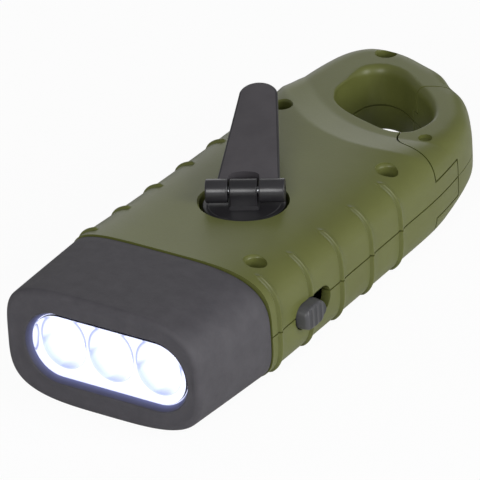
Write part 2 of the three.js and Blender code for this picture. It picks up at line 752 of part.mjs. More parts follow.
// Involute flanks, thinned by the backlash; a tooth's middle lies on the given angle
function gear(teeth, addendumShare, toothAngle, z0, z1) {
  const { pitch, base, radii } = toothRadii(teeth, addendumShare);
  const involute = (angle) => Math.tan(angle) - angle;
  const half = HALF_TURN / (2 * teeth) - TOOTH_BACKLASH / (2 * pitch) + involute(PRESSURE_ANGLE);
  const halfAngle = (radius) => half - involute(Math.acos(Math.min(base / radius, 1)));
  const points = [];
  for (let tooth = 0; tooth < teeth; tooth += 1) {
    const middle = toothAngle + (FULL_TURN * tooth) / teeth;
    const flank = (radius, side) => new THREE.Vector2(
      radius * Math.cos(middle + side * halfAngle(radius)),
      radius * Math.sin(middle + side * halfAngle(radius)),
    );
    radii.forEach((radius) => points.push(flank(radius, -1)));
    [...radii].reverse().forEach((radius) => points.push(flank(radius, 1)));
  }
  return prism(points, z0, z1);
}

const toothPitch = (teeth) => FULL_TURN / teeth;
const rootR = (teeth) => pitchR(teeth) - DEDENDUM_SHARE * GEAR_MODULE;

// Head skin: superellipse sections from the shells' front to the face

const HEAD_REAR_Y = SHELL_FRONT_Y - SEAM;
const HEAD_FACE_Y = HEAD_REAR_Y - HEAD_LENGTH;

function headRing(y, inset) {
  const t = clamp01(between(HEAD_REAR_Y, HEAD_FACE_Y, y));
  const half = mix(HEAD_REAR_HALF_WIDTH, HEAD_FACE_HALF_WIDTH, t) - inset;
  const middle = PARTING_Z + HEAD_FACE_Z * t;
  const up = mix(CROWN_FRONT - SEAM, HEAD_FACE_HALF_HEIGHT, t) - inset;
  const down = mix(BELLY_DEPTH - SEAM, HEAD_FACE_HALF_HEIGHT, t) - inset;
  const ring = [];
  for (let i = 0; i < HEAD_STEPS; i += 1) {
    const angle = HALF_TURN - (FULL_TURN * i) / HEAD_STEPS;
    const side = Math.sin(angle) > 0 ? TOP : UNDERSIDE;
    const power = 2 / mix(side.bodyPower, HEAD_FACE_FULLNESS_SHARE, t);
    const across = Math.sign(Math.cos(angle)) * Math.abs(Math.cos(angle)) ** power;
    const rise = Math.sign(Math.sin(angle)) * Math.abs(Math.sin(angle)) ** power;
    ring.push(new THREE.Vector3(half * across, y, middle + rise * (rise > 0 ? up : down)));
  }
  return ring;
}

function headSkin() {
  const rings = [];
  const steps = ROUND_STEPS / 6;
  for (let i = 0; i <= steps; i += 1) {
    const turn = (HALF_TURN * i) / (2 * steps);
    const y = HEAD_FACE_Y + HEAD_EDGE_R * (1 - Math.cos(turn));
    rings.push(headRing(y, HEAD_EDGE_R * (1 - Math.sin(turn))));
  }
  for (let i = 1; i <= steps; i += 1) {
    rings.push(headRing(mix(HEAD_FACE_Y + HEAD_EDGE_R, HEAD_REAR_Y, i / steps), 0));
  }
  return loft(rings).intersect(halfSpace(0, SKY));
}

// A stadium outline in X and Z, run along Y
function stadium(halfLength, halfHeight, y0, y1) {
  const shape = new THREE.Shape();
  const reach = halfLength - halfHeight;
  shape.absarc(reach, 0, halfHeight, -HALF_TURN / 2, HALF_TURN / 2, false);
  shape.absarc(-reach, 0, halfHeight, HALF_TURN / 2, HALF_TURN * 1.5, false);
  const geometry = new THREE.ExtrudeGeometry(shape, {
    depth: y1 - y0, bevelEnabled: false, curveSegments: ROUND_STEPS / 2,
  });
  geometry.rotateX(HALF_TURN / 2);
  geometry.translate(0, y1, PARTING_Z + HEAD_FACE_Z);
  return solid(geometry);
}

// A stadium that narrows evenly from one end to the other
function taperedStadium(halfLength, halfHeight, y0, y1, shrink) {
  const steps = ROUND_STEPS;
  const ring = (length, height, y) => Array.from({ length: 2 * steps }, (_, i) => {
    const right = i < steps;
    const turn = mix(-HALF_TURN / 2, HALF_TURN / 2, (i % steps) / (steps - 1)) + (right ? 0 : HALF_TURN);
    const reach = (length - height) * (right ? 1 : -1);
    return new THREE.Vector3(
      reach + height * Math.cos(turn), y, PARTING_Z + HEAD_FACE_Z + height * Math.sin(turn),
    );
  });
  return loft([ring(halfLength - shrink, halfHeight - shrink, y0), ring(halfLength, halfHeight, y1)]);
}

const LENS_FRONT_Y = HEAD_FACE_Y + LENS_SINK;
const LENS_SEAT_Y = HEAD_FACE_Y + LENS_LIP;
const LENS_REAR_Y = LENS_SEAT_Y + LENS_FLANGE;
const REFLECTOR_FRONT_Y = LENS_REAR_Y + CLEARANCE;
const REFLECTOR_REAR_Y = REFLECTOR_FRONT_Y + REFLECTOR_DEPTH;
const LED_BASE_Y = REFLECTOR_REAR_Y + CLEARANCE;
const LED_BOARD_REAR_Y = LED_BASE_Y + LED_BOARD_THICKNESS;
const LIP_REAR_Y = SHELL_FRONT_Y + NECK_FLANGE;
const NECK_INSET = SHELL_WALL + NECK_LIP + CLEARANCE;
const shellSlice = (y0, y1, inset) => hull([y0, y1], CAVITY_COLUMNS, inset, false);

function headBezel() {
  const openingLength = LENS_HALF_LENGTH - LENS_OVERLAP;
  const openingHeight = LENS_HALF_HEIGHT - LENS_OVERLAP;
  const bore = stadium(
    LENS_HALF_LENGTH + CLEARANCE, LENS_HALF_HEIGHT + CLEARANCE, LENS_SEAT_Y, LED_BOARD_REAR_Y + NECK_WALL,
  );
  const opening = stadium(openingLength, openingHeight, HEAD_FACE_Y - OVERRUN, LENS_SEAT_Y + OVERRUN);
  const flangeFront = LIP_REAR_Y + CLEARANCE;
  const flangeRear = flangeFront + NECK_FLANGE;
  const neck = shellSlice(HEAD_REAR_Y - OVERRUN, flangeRear, NECK_INSET)
    .add(shellSlice(flangeFront, flangeRear, SHELL_WALL + CLEARANCE))
    .subtract(halfSpace(-ROOM, SHELL_WALL + CLEARANCE));
  const neckBore = shellSlice(LED_BOARD_REAR_Y, flangeRear + OVERRUN, NECK_INSET + NECK_WALL);
  return cutBy(headSkin().add(neck), bore, opening, neckBore);
}

function lens() {
  const padLength = LENS_HALF_LENGTH - LENS_OVERLAP - CLEARANCE;
  const padHeight = LENS_HALF_HEIGHT - LENS_OVERLAP - CLEARANCE;
  const bevelRear = LENS_FRONT_Y + LENS_BEVEL;
  return joined(
    stadium(LENS_HALF_LENGTH, LENS_HALF_HEIGHT, LENS_SEAT_Y + CLEARANCE, LENS_REAR_Y),
    stadium(padLength, padHeight, bevelRear, LENS_REAR_Y),
    taperedStadium(padLength, padHeight, LENS_FRONT_Y, bevelRear, LENS_BEVEL),
  );
}

const cupPlaces = [-CUP_PITCH, 0, CUP_PITCH];

// A profile turned about an axis along Y; heights run toward the lamp's face from y
function turnedForward(pairs, x, y, steps = ROUND_STEPS) {
  const profile = pairs.map(([radius, height]) => new THREE.Vector2(radius, -height));
  const geometry = new THREE.LatheGeometry(profile, steps);
  geometry.translate(x, y, PARTING_Z + HEAD_FACE_Z);
  return solid(geometry);
}

function reflector() {
  const steps = 5;
  const cup = (x) => {
    const profile = [[0, -OVERRUN], [CUP_THROAT_R, -OVERRUN]];
    for (let i = 0; i <= steps; i += 1) {
      const depth = REFLECTOR_DEPTH * (i / steps) ** 2;
      profile.push([mix(CUP_THROAT_R, CUP_R, i / steps), depth]);
    }
    profile.push([CUP_R, REFLECTOR_DEPTH + OVERRUN], [0, REFLECTOR_DEPTH + OVERRUN]);
    return turnedForward(profile, x, REFLECTOR_REAR_Y, DISC_STEPS / 2);
  };
  const blank = stadium(LENS_HALF_LENGTH, LENS_HALF_HEIGHT, REFLECTOR_FRONT_Y, REFLECTOR_REAR_Y);
  return cutBy(blank, ...cupPlaces.map(cup));
}

function led(x) {
  const steps = 4;
  const profile = [
    [0, 0], [LED_FLANGE_R, 0], [LED_FLANGE_R, LED_FLANGE_HEIGHT], [LED_R, LED_FLANGE_HEIGHT],
  ];
  for (let i = 0; i <= steps; i += 1) {
    const turn = (HALF_TURN * i) / (2 * steps);
    profile.push([LED_R * Math.cos(turn), LED_HEIGHT - LED_R + LED_R * Math.sin(turn)]);
  }
  profile[profile.length - 1][0] = 0;
  return turnedForward(profile, x, LED_BASE_Y - RUNNING_GAP, SMALL_STEPS);
}

const ledBoard = () => block(
  -LED_BOARD_HALF_LENGTH, LED_BOARD_HALF_LENGTH, LED_BASE_Y, LED_BOARD_REAR_Y,
  PARTING_Z + HEAD_FACE_Z - LED_BOARD_HALF_HEIGHT, PARTING_Z + HEAD_FACE_Z + LED_BOARD_HALF_HEIGHT,
);

// Heights of the crank's stack

const DISC_TOP_Z = PARTING_Z + DISC_TOP;
const DISC_UNDER_Z = DISC_TOP_Z - DISC_THICKNESS;
const RECESS_Z = DISC_UNDER_Z - CLEARANCE;
const ROOF_UNDER_Z = RECESS_Z - RECESS_FLOOR;
const HINGE_Z = DISC_TOP_Z + HINGE_RISE;
const AXLE_BOSS_Z = DRIVE_TOP + GEAR_GAP;
const AXLE_TOP = AXLE_BOSS_Z + AXLE_SEAT;

// Shell interiors

const cavityRoom = cutBy(
  cavity, holeColumn(SHELL_WALL), gateZone(GATE_LIP_REACH + SHELL_WALL), screwPosts,
);

const wholeShell = joined(
  ringBody.subtract(cavityRoom),
  shellSlice(SHELL_FRONT_Y, LIP_REAR_Y, SHELL_WALL - SEAM)
    .subtract(shellSlice(SHELL_FRONT_Y - OVERRUN, LIP_REAR_Y + OVERRUN, SHELL_WALL + NECK_LIP)),
).subtract(gateRoom);

const GATE_PIN_BOTTOM = PARTING_Z - RING_UNDER + GATE_PIN_COVER;
const GATE_WELL_Z = PARTING_Z + roundedHeight(TOP, GATE_PIVOT_X, GATE_PIVOT_Y, 0) - GATE_WELL_DEPTH;
const GATE_PIN_TOP = GATE_WELL_Z - GATE_PIN_COVER;
const gateWell = () => post(GATE_PIVOT_X, GATE_PIVOT_Y, GATE_WELL_Z, SKY, GATE_WELL_R);
const gatePinBore = () => post(
  GATE_PIVOT_X, GATE_PIVOT_Y, GATE_PIN_BOTTOM - RUNNING_GAP, GATE_PIN_TOP + RUNNING_GAP,
  GATE_PIN_R + RUNNING_GAP,
);

function gatePinAndSpringCut() {
  const half = GATE_SPRING_HEIGHT / 2 + CLEARANCE;
  return joined(
    gatePinBore(),
    post(
      GATE_PIVOT_X, GATE_PIVOT_Y, PARTING_Z - half, PARTING_Z + half,
      GATE_SPRING_R + GATE_SPRING_WIRE_R + RUNNING_GAP,
    ),
  );
}

function switchSlotCut() {
  const height = SWITCH_SLOT_TOP + SWITCH_SLOT_BOTTOM;
  const middleZ = PARTING_Z + (SWITCH_SLOT_TOP - SWITCH_SLOT_BOTTOM) / 2;
  const x = BODY_HALF_WIDTH - SHELL_WALL - SWITCH_BASE_MARGIN;
  const [front, rear] = [SWITCH_SLOT_FRONT_Y + height / 2, SWITCH_SLOT_REAR_Y - height / 2];
  const ends = [front, rear].map((y) => barrel(x, ROOM, y, middleZ, height / 2));
  return joined(block(x, ROOM, front, rear, middleZ - height / 2, middleZ + height / 2), ...ends);
}

const battery = (extra) => barrel(
  -BATTERY_LENGTH / 2 - extra, BATTERY_LENGTH / 2 + extra, BATTERY_Y, BATTERY_Z, BATTERY_R + extra,
);

function cradleRibs(z0, z1) {
  const reach = BATTERY_R * CRADLE_REACH_SHARE;
  const ribAt = (x) => block(
    x - CRADLE_WIDTH / 2, x + CRADLE_WIDTH / 2, BATTERY_Y - reach, BATTERY_Y + reach, z0, z1,
  );
  const x = BATTERY_LENGTH / 2 - CRADLE_WIDTH;
  return ribAt(-x).add(ribAt(x)).intersect(skin).subtract(battery(CLEARANCE));
}

const bearingSpots = [secondSpot, thirdSpot, rotorSpot];

function topShell() {
  const bosses = bearingSpots.map(([x, y]) => post(x, y, AXLE_BOSS_Z, SKY, AXLE_R + POST_WALL));
  const recessBoss = post(...crankSpot, ROOF_UNDER_Z, SKY, RECESS_R + POST_WALL, DISC_STEPS);
  const body = joined(
    wholeShell.intersect(halfSpace(PARTING_Z, SKY)),
    joined(recessBoss, ...bosses).intersect(skin),
    cradleRibs(BATTERY_Z + BATTERY_R * CRADLE_DEPTH_SHARE, SKY),
  );
  return cutBy(
    body,
    post(...crankSpot, RECESS_Z, SKY, RECESS_R, DISC_STEPS),
    post(...crankSpot, ROOF_UNDER_Z - OVERRUN, SKY, BUSHING_R + RUNNING_GAP),
    ...bearingSpots.map(([x, y]) => post(
      x, y, AXLE_BOSS_Z - OVERRUN, AXLE_TOP + CLEARANCE, AXLE_R + RUNNING_GAP,
    )),
    ...allScrewSpots.map(wellCut),
    gatePinAndSpringCut(),
    switchSlotCut(),
  );
}

const plateScrewSpots = {
  plate_screw_front_left: [-PLATE_SCREW_X, PLATE_SCREW_FRONT_Y],
  plate_screw_front_right: [PLATE_SCREW_X, PLATE_SCREW_FRONT_Y],
  plate_screw_side: [PLATE_SCREW_X, PLATE_SCREW_SIDE_Y],
  plate_screw_rear: [PLATE_SCREW_REAR_X, PLATE_SCREW_REAR_Y],
};
const plateSpots = Object.values(plateScrewSpots);

function boardGuides() {
  const bottom = BOARD_Z - BOARD_HEIGHT / 2;
  const guide = (y) => block(
    BOARD_X - CRADLE_WIDTH / 2, BOARD_X + BOARD_THICKNESS + CRADLE_WIDTH / 2,
    y - CRADLE_WIDTH, y + CRADLE_WIDTH, -OVERRUN, bottom + CRADLE_WIDTH,
  );
  const ends = [BOARD_Y - BOARD_LENGTH / 2, BOARD_Y + BOARD_LENGTH / 2];
  return joined(...ends.map(guide)).intersect(skin).subtract(mainBoard(CLEARANCE));
}

const mainBoard = (extra) => block(
  BOARD_X - extra, BOARD_X + BOARD_THICKNESS + extra,
  BOARD_Y - BOARD_LENGTH / 2 - extra, BOARD_Y + BOARD_LENGTH / 2 + extra,
  BOARD_Z - BOARD_HEIGHT / 2 - extra, BOARD_Z + BOARD_HEIGHT / 2 + extra,
);

function bottomShell() {
  const platePosts = plateSpots.map(([x, y]) => post(x, y, -OVERRUN, PLATE_Z, PLATE_POST_R));
  const body = joined(
    wholeShell.intersect(halfSpace(0, PARTING_Z)),
    joined(...platePosts).intersect(skin),
    cradleRibs(0, BATTERY_Z - BATTERY_R * CRADLE_DEPTH_SHARE),
    boardGuides(),
  );
  const plateHole = ([x, y]) => post(
    x, y, PLATE_TOP - PLATE_SCREW_LENGTH - CLEARANCE, PLATE_Z + OVERRUN, PLATE_SCREW_R + RUNNING_GAP,
  );
  return cutBy(
    body, ...allScrewSpots.map(pilotCut), ...plateSpots.map(plateHole), gatePinAndSpringCut(), switchSlotCut(),
  );
}

// Crank: disc and shaft in one, drawn about its own axis with the hinge along X

function crankDisc() {
  const foot = PLATE_Z + CLEARANCE;
  const body = turned([
    [0, foot], [SHAFT_STEP_R, foot], [SHAFT_STEP_R, DRIVE_TOP + RUNNING_GAP],
    [SHAFT_R, DRIVE_TOP + RUNNING_GAP], [SHAFT_R, DISC_UNDER_Z], [DISC_R, DISC_UNDER_Z],
    [DISC_R, DISC_TOP_Z], [0, DISC_TOP_Z],
  ], 0, 0, 0, DISC_STEPS);
  const half = KNUCKLE_WIDTH / 2;
  const web = block(-half, half, -HINGE_R, HINGE_R, DISC_TOP_Z - DISC_THICKNESS / 2, HINGE_Z);
  const knuckle = barrel(-half, half, 0, HINGE_Z, HINGE_R);
  const bore = barrel(-half - OVERRUN, half + OVERRUN, 0, HINGE_Z, HINGE_PIN_R + RUNNING_GAP);
  return joined(body, web, knuckle).subtract(bore);
}

const hingePin = () => barrel(-HINGE_LENGTH / 2, HINGE_LENGTH / 2, 0, HINGE_Z, HINGE_PIN_R);

// Arm, drawn flat with the hinge along X at the origin and its tip toward +Y

function armPlan() {
  const shape = new THREE.Shape();
  const tip = ARM_LENGTH - ARM_TIP_R;
  shape.moveTo(ARM_ROOT_SHIFT - ARM_ROOT_HALF_WIDTH, 0);
  shape.lineTo(ARM_ROOT_SHIFT + ARM_ROOT_HALF_WIDTH, 0);
  shape.lineTo(ARM_TIP_SHIFT + ARM_TIP_R, tip);
  shape.absarc(ARM_TIP_SHIFT, tip, ARM_TIP_R, 0, HALF_TURN, false);
  return shape;
}

const ARM_UNDER = ARM_OFFSET - ARM_THICKNESS / 2;
const knobSpot = [ARM_TIP_SHIFT, ARM_LENGTH - ARM_TIP_R];
const KNOB_FOOT = ARM_UNDER - CLEARANCE - KNOB_LENGTH;
const KNOB_SCREW_SEAT = KNOB_FOOT + KNOB_SCREW_HEAD_HEIGHT + CLEARANCE;

function crankArm() {
  const plate = new THREE.ExtrudeGeometry(armPlan(), {
    depth: ARM_THICKNESS, bevelEnabled: false, curveSegments: ROUND_STEPS / 2,
  });
  plate.translate(0, 0, ARM_UNDER);
  const inner = KNUCKLE_WIDTH / 2 + CLEARANCE;
  const slot = block(-inner, inner, -HINGE_R - OVERRUN, ARM_SLOT_DEPTH, -HINGE_R - OVERRUN, HINGE_R + OVERRUN);
  const barrels = barrel(-HINGE_LENGTH / 2, HINGE_LENGTH / 2, 0, 0, HINGE_R);
  const boreEnd = HINGE_LENGTH / 2 + OVERRUN;
  const pinBore = barrel(-boreEnd, boreEnd, 0, 0, HINGE_PIN_R + RUNNING_GAP);
  const stem = post(...knobSpot, KNOB_SCREW_SEAT, ARM_UNDER + ARM_THICKNESS / 2, KNOB_STEM_R);
  const screwHole = post(
    ...knobSpot, KNOB_SCREW_SEAT - OVERRUN, ARM_UNDER + ARM_THICKNESS / 2, KNOB_SCREW_R + RUNNING_GAP,
  );
  return cutBy(joined(solid(plate), barrels, stem), slot, pinBore, screwHole);
}

function crankKnob() {
  const top = ARM_UNDER - CLEARANCE;
  const bore = KNOB_STEM_R + RUNNING_GAP;
  const counterbore = KNOB_SCREW_HEAD_R + RUNNING_GAP;
  const waist = KNOB_LENGTH / 3;
  const shelf = KNOB_SCREW_SEAT + CLEARANCE;
  return turned([
    [bore, shelf], [counterbore, shelf], [counterbore, KNOB_FOOT], [KNOB_WAIST_R, KNOB_FOOT],
    [KNOB_R, KNOB_FOOT + waist / 2], [KNOB_R, KNOB_FOOT + waist], [KNOB_WAIST_R, top - waist],
    [KNOB_WAIST_R, top], [bore, top], [bore, shelf],
  ], ...knobSpot);
}

const knobScrew = () => turned([
  [0, KNOB_FOOT + CLEARANCE], [KNOB_SCREW_HEAD_R, KNOB_FOOT + CLEARANCE],
  [KNOB_SCREW_HEAD_R, KNOB_SCREW_SEAT - RUNNING_GAP], [KNOB_SCREW_R, KNOB_SCREW_SEAT - RUNNING_GAP],
  [KNOB_SCREW_R, ARM_UNDER], [0, ARM_UNDER],
], ...knobSpot, 0, SMALL_STEPS);

const crankBushing = () => {
  const flangeTop = ROOF_UNDER_Z - RUNNING_GAP;
  const inner = SHAFT_R + RUNNING_GAP;
  return turned([
    [inner, flangeTop - BUSHING_FLANGE], [BUSHING_FLANGE_R, flangeTop - BUSHING_FLANGE],
    [BUSHING_FLANGE_R, flangeTop], [BUSHING_R, flangeTop], [BUSHING_R, RECESS_Z], [inner, RECESS_Z],
    [inner, flangeTop - BUSHING_FLANGE],
  ], ...crankSpot);
};

// Gears, each drawn about its own axis

function driveGear() {
  return gear(DRIVE_TEETH, WHEEL_ADDENDUM_SHARE, SECOND_GEAR_ANGLE, DRIVE_Z, DRIVE_TOP)
    .subtract(post(0, 0, DRIVE_Z - OVERRUN, DRIVE_TOP + OVERRUN, SHAFT_STEP_R + RUNNING_GAP));
}

const pinion = (angle, z0, z1) => gear(
  PINION_TEETH, PINION_ADDENDUM_SHARE, angle + HALF_TURN + toothPitch(PINION_TEETH) / 2, z0, z1,
);
const axleBore = () => post(0, 0, 0, SKY, AXLE_R + RUNNING_GAP);

function secondGear() {
  const wheelTop = SECOND_WHEEL_Z + WHEEL_THICKNESS;
  const wheel = gear(SECOND_WHEEL_TEETH, WHEEL_ADDENDUM_SHARE, THIRD_GEAR_ANGLE, SECOND_WHEEL_Z, wheelTop);
  const spacer = post(0, 0, PLATE_TOP + CLEARANCE, SECOND_WHEEL_Z + WHEEL_THICKNESS / 2, AXLE_R + POST_WALL);
  const upper = pinion(SECOND_GEAR_ANGLE, wheelTop - WHEEL_THICKNESS / 2, DRIVE_TOP);
  return joined(wheel, upper, spacer).subtract(axleBore());
}

function thirdGear() {
  const wheelTop = THIRD_WHEEL_Z + WHEEL_THICKNESS;
  const upperTop = SECOND_WHEEL_Z + WHEEL_THICKNESS + GEAR_GAP / 2;
  const wheel = gear(THIRD_WHEEL_TEETH, WHEEL_ADDENDUM_SHARE, ROTOR_ANGLE, THIRD_WHEEL_Z, wheelTop);
  const upper = pinion(THIRD_GEAR_ANGLE, wheelTop - WHEEL_THICKNESS / 2, upperTop);
  const hub = post(0, 0, PLATE_TOP + CLEARANCE, AXLE_BOSS_Z - CLEARANCE, rootR(PINION_TEETH) - RUNNING_GAP);
  return joined(wheel, upper, hub).subtract(axleBore());
}

const rotorPinion = () => pinion(ROTOR_ANGLE, THIRD_WHEEL_Z, THIRD_WHEEL_Z + WHEEL_THICKNESS)
  .subtract(axleBore());

const rotorMagnet = () => post(0, 0, ROTOR_Z, ROTOR_Z + ROTOR_HEIGHT, ROTOR_R).subtract(axleBore());

const axle = () => post(0, 0, PLATE_Z + CLEARANCE, AXLE_TOP, AXLE_R);

function crankClip() {
  const top = DRIVE_Z - RUNNING_GAP;
  const inner = SHAFT_STEP_R + RUNNING_GAP;
  const disc = post(0, 0, top - CLIP_THICKNESS, top, CLIP_R);
  const mouth = block(-inner / 2, inner / 2, 0, CLIP_R + OVERRUN, 0, SKY);
  return cutBy(disc, post(0, 0, 0, SKY, inner), mouth);
}

function statorCore() {
  const web = STATOR_IN_R + STATOR_WALL;
  return turned([
    [STATOR_IN_R, STATOR_Z], [STATOR_OUT_R, STATOR_Z], [STATOR_OUT_R, STATOR_Z + STATOR_FLANGE],
    [web, STATOR_Z + STATOR_FLANGE], [web, STATOR_TOP - STATOR_FLANGE],
    [STATOR_OUT_R, STATOR_TOP - STATOR_FLANGE], [STATOR_OUT_R, STATOR_TOP], [STATOR_IN_R, STATOR_TOP],
    [STATOR_IN_R, STATOR_Z],
  ]);
}

function generatorCoil() {
  const inner = STATOR_IN_R + STATOR_WALL + RUNNING_GAP;
  const outer = inner + COIL_DEPTH - RUNNING_GAP;
  const bottom = STATOR_Z + STATOR_FLANGE + RUNNING_GAP;
  const top = STATOR_TOP - STATOR_FLANGE - RUNNING_GAP;
  return turned([[inner, bottom], [outer, bottom], [outer, top], [inner, top], [inner, bottom]]);
}

// Gear plate with the posts that carry the stator

function gearPlate() {
  const shape = new THREE.Shape();
  const [left, right] = [PLATE_LEFT_X + PLATE_CORNER_R, PLATE_RIGHT_X - PLATE_CORNER_R];
  const [front, rear] = [PLATE_FRONT_Y + PLATE_CORNER_R, PLATE_REAR_Y - PLATE_CORNER_R];
  shape.absarc(right, front, PLATE_CORNER_R, -HALF_TURN / 2, 0, false);
  shape.absarc(right, rear, PLATE_CORNER_R, 0, HALF_TURN / 2, false);
  shape.absarc(left, rear, PLATE_CORNER_R, HALF_TURN / 2, HALF_TURN, false);
  shape.absarc(left, front, PLATE_CORNER_R, HALF_TURN, HALF_TURN * 1.5, false);
  const plate = prism(shape.getPoints(ROUND_STEPS / 6), PLATE_Z, PLATE_TOP);
  const ringR = STATOR_OUT_R - STATOR_POST_R;
  const statorPosts = STATOR_POST_ANGLES.map((angle) => post(
    rotorSpot[0] + ringR * Math.cos(angle), rotorSpot[1] + ringR * Math.sin(angle),
    PLATE_Z + PLATE_THICKNESS / 2, STATOR_Z - RUNNING_GAP, STATOR_POST_R,
  ));
  return cutBy(
    joined(plate, ...statorPosts),
    block(PLATE_NOTCH_X, ROOM, PLATE_NOTCH_Y, TAIL_Y, 0, SKY),
    post(...crankSpot, 0, SKY, SHAFT_STEP_R + RUNNING_GAP),
    ...bearingSpots.map(([x, y]) => post(x, y, 0, PLATE_TOP + OVERRUN, AXLE_R + RUNNING_GAP)),
    ...plateSpots.map(([x, y]) => post(x, y, 0, SKY, PLATE_SCREW_R + RUNNING_GAP)),
  );
}

// Switch: a knob in the slot, its inner plate, and the switch on the board

const SWITCH_BASE_IN_X = SWITCH_BASE_X - SWITCH_BASE_THICKNESS;
const SWITCH_FRONT_Y = SWITCH_SLOT_FRONT_Y + CLEARANCE;
const SWITCH_REAR_Y = SWITCH_SLOT_REAR_Y - SWITCH_TRAVEL - CLEARANCE;

function switchKnob() {
  const bottom = PARTING_Z - SWITCH_SLOT_BOTTOM + CLEARANCE;
  const top = PARTING_Z + SWITCH_SLOT_TOP - CLEARANCE;
  const half = (top - bottom) / 2;
  const shape = new THREE.Shape();
  shape.absarc(SWITCH_FRONT_Y + half, 0, half, HALF_TURN / 2, HALF_TURN * 1.5, false);
  shape.absarc(SWITCH_REAR_Y - half, 0, half, -HALF_TURN / 2, HALF_TURN / 2, false);
  const outer = BODY_HALF_WIDTH + SWITCH_PROUD;
  const geometry = new THREE.ExtrudeGeometry(shape, {
    depth: outer - SWITCH_BASE_IN_X, bevelEnabled: false, curveSegments: ROUND_STEPS / 4,
  });
  geometry.rotateZ(HALF_TURN / 2);
  geometry.rotateY(HALF_TURN / 2);
  geometry.translate(SWITCH_BASE_IN_X, 0, (top + bottom) / 2);
  const plate = block(
    SWITCH_BASE_IN_X, SWITCH_BASE_X, SWITCH_FRONT_Y - SWITCH_BASE_MARGIN,
    SWITCH_REAR_Y + SWITCH_BASE_MARGIN, bottom - SWITCH_BASE_MARGIN, top + SWITCH_BASE_MARGIN,
  );
  const middle = (SWITCH_FRONT_Y + SWITCH_REAR_Y) / 2;
  const grooves = Array.from({ length: SWITCH_GRIP_COUNT }, (_, i) => {
    const y = middle + (i - (SWITCH_GRIP_COUNT - 1) / 2) * SWITCH_GRIP_PITCH;
    return block(
      outer - SWITCH_GRIP_DEPTH, outer + OVERRUN, y - SWITCH_GRIP_PITCH / 5, y + SWITCH_GRIP_PITCH / 5,
      bottom - OVERRUN, top + OVERRUN,
    );
  });
  return cutBy(solid(geometry).add(plate), ...grooves);
}

const switchBody = () => block(
  BOARD_X + BOARD_THICKNESS + RUNNING_GAP, SWITCH_BASE_IN_X - RUNNING_GAP,
  SWITCH_BODY_Y - SWITCH_BODY_LENGTH / 2, SWITCH_BODY_Y + SWITCH_BODY_LENGTH / 2,
  PARTING_Z - SWITCH_BODY_HEIGHT / 2, PARTING_Z + SWITCH_BODY_HEIGHT / 2,
);

// Leads between the lamps, the cells, the coil and the board

function wire(corners) {
  const points = corners.map((corner) => new THREE.Vector3(...corner));
  const path = new THREE.CatmullRomCurve3(points, false, 'catmullrom', WIRE_BEND_SHARE);
  const section = Array.from({ length: SMALL_STEPS / 2 }, (_, i) => new THREE.Vector2(
    WIRE_R * Math.cos((2 * FULL_TURN * i) / SMALL_STEPS), WIRE_R * Math.sin((2 * FULL_TURN * i) / SMALL_STEPS),
  ));
  return solid(new THREE.ExtrudeGeometry(new THREE.Shape(section), {
    steps: SMALL_STEPS, bevelEnabled: false, extrudePath: path,
  }));
}

const BOARD_SOLDER_X = BOARD_X - CLEARANCE;
const lampWire = () => wire([
  [WIRE_LANE_X, LED_BOARD_REAR_Y + RUNNING_GAP, LAMP_WIRE_Z], [WIRE_LANE_X, 0, LAMP_WIRE_Z],
  [WIRE_LANE_X, WIRE_TURN_Y, LAMP_WIRE_Z], [BOARD_SOLDER_X, WIRE_BOARD_Y, LAMP_WIRE_Z],
]);
const batteryWire = () => wire([
  [BATTERY_LENGTH / 2 + WIRE_R + RUNNING_GAP, BATTERY_Y, BATTERY_Z], [WIRE_LANE_X, WIRE_TURN_Y, BATTERY_Z],
  [BOARD_SOLDER_X, WIRE_BOARD_Y, BATTERY_Z],
]);
const coilWire = () => wire([
  [rotorSpot[0] + STATOR_OUT_R + WIRE_R, rotorSpot[1], COIL_WIRE_Z],
  [COIL_WIRE_NEAR_X, COIL_WIRE_NEAR_Y, COIL_WIRE_Z], [COIL_WIRE_LANE_X, COIL_WIRE_LANE_Y, COIL_WIRE_Z],
  [BOARD_X + BOARD_THICKNESS / 2, BOARD_Y + BOARD_LENGTH / 2 + RUNNING_GAP, COIL_WIRE_Z],
]);

// Gate pieces

const gateHalf = (z0, z1) => cutBy(gateSolid.intersect(halfSpace(z0, z1)), gatePinBore(), gateWell());

function gateSpring() {
  const steps = SMALL_STEPS;
  const turns = GATE_SPRING_TURNS;
  const points = Array.from({ length: turns * steps + 1 }, (_, i) => new THREE.Vector3(
    GATE_PIVOT_X + GATE_SPRING_R * Math.cos((FULL_TURN * i) / steps),
    GATE_PIVOT_Y + GATE_SPRING_R * Math.sin((FULL_TURN * i) / steps),
    PARTING_Z + (GATE_SPRING_HEIGHT - 2 * GATE_SPRING_WIRE_R) * (i / (turns * steps) - 0.5),
  ));
  const wire = new THREE.Shape();
  wire.absarc(0, 0, GATE_SPRING_WIRE_R, 0, FULL_TURN, false);
  return solid(new THREE.ExtrudeGeometry(new THREE.Shape(wire.getPoints(SMALL_STEPS / 4).slice(0, -1)), {
    steps: turns * steps, bevelEnabled: false, extrudePath: new THREE.CatmullRomCurve3(points),
  }));
}

// Assembly

const flashlight = new THREE.Group();

function add(name, manifold, finish, parent = flashlight, spot = [0, 0]) {
  const mesh = new THREE.Mesh(geometryOf(manifold), new THREE.MeshStandardMaterial(finish));
  mesh.name = name;
  mesh.position.set(spot[0], spot[1], 0);
  parent.add(mesh);
}

add('top_shell', topShell(), olivePlastic);
add('bottom_shell', bottomShell(), olivePlastic);

add('head_bezel', headBezel(), darkRubber);
add('lens', lens(), clearPlastic);
add('reflector', reflector(), chromedPlastic);
['led_left', 'led_middle', 'led_right'].forEach((name, i) => add(name, led(cupPlaces[i]), ledResin));
add('led_board', ledBoard(), boardLaminate);

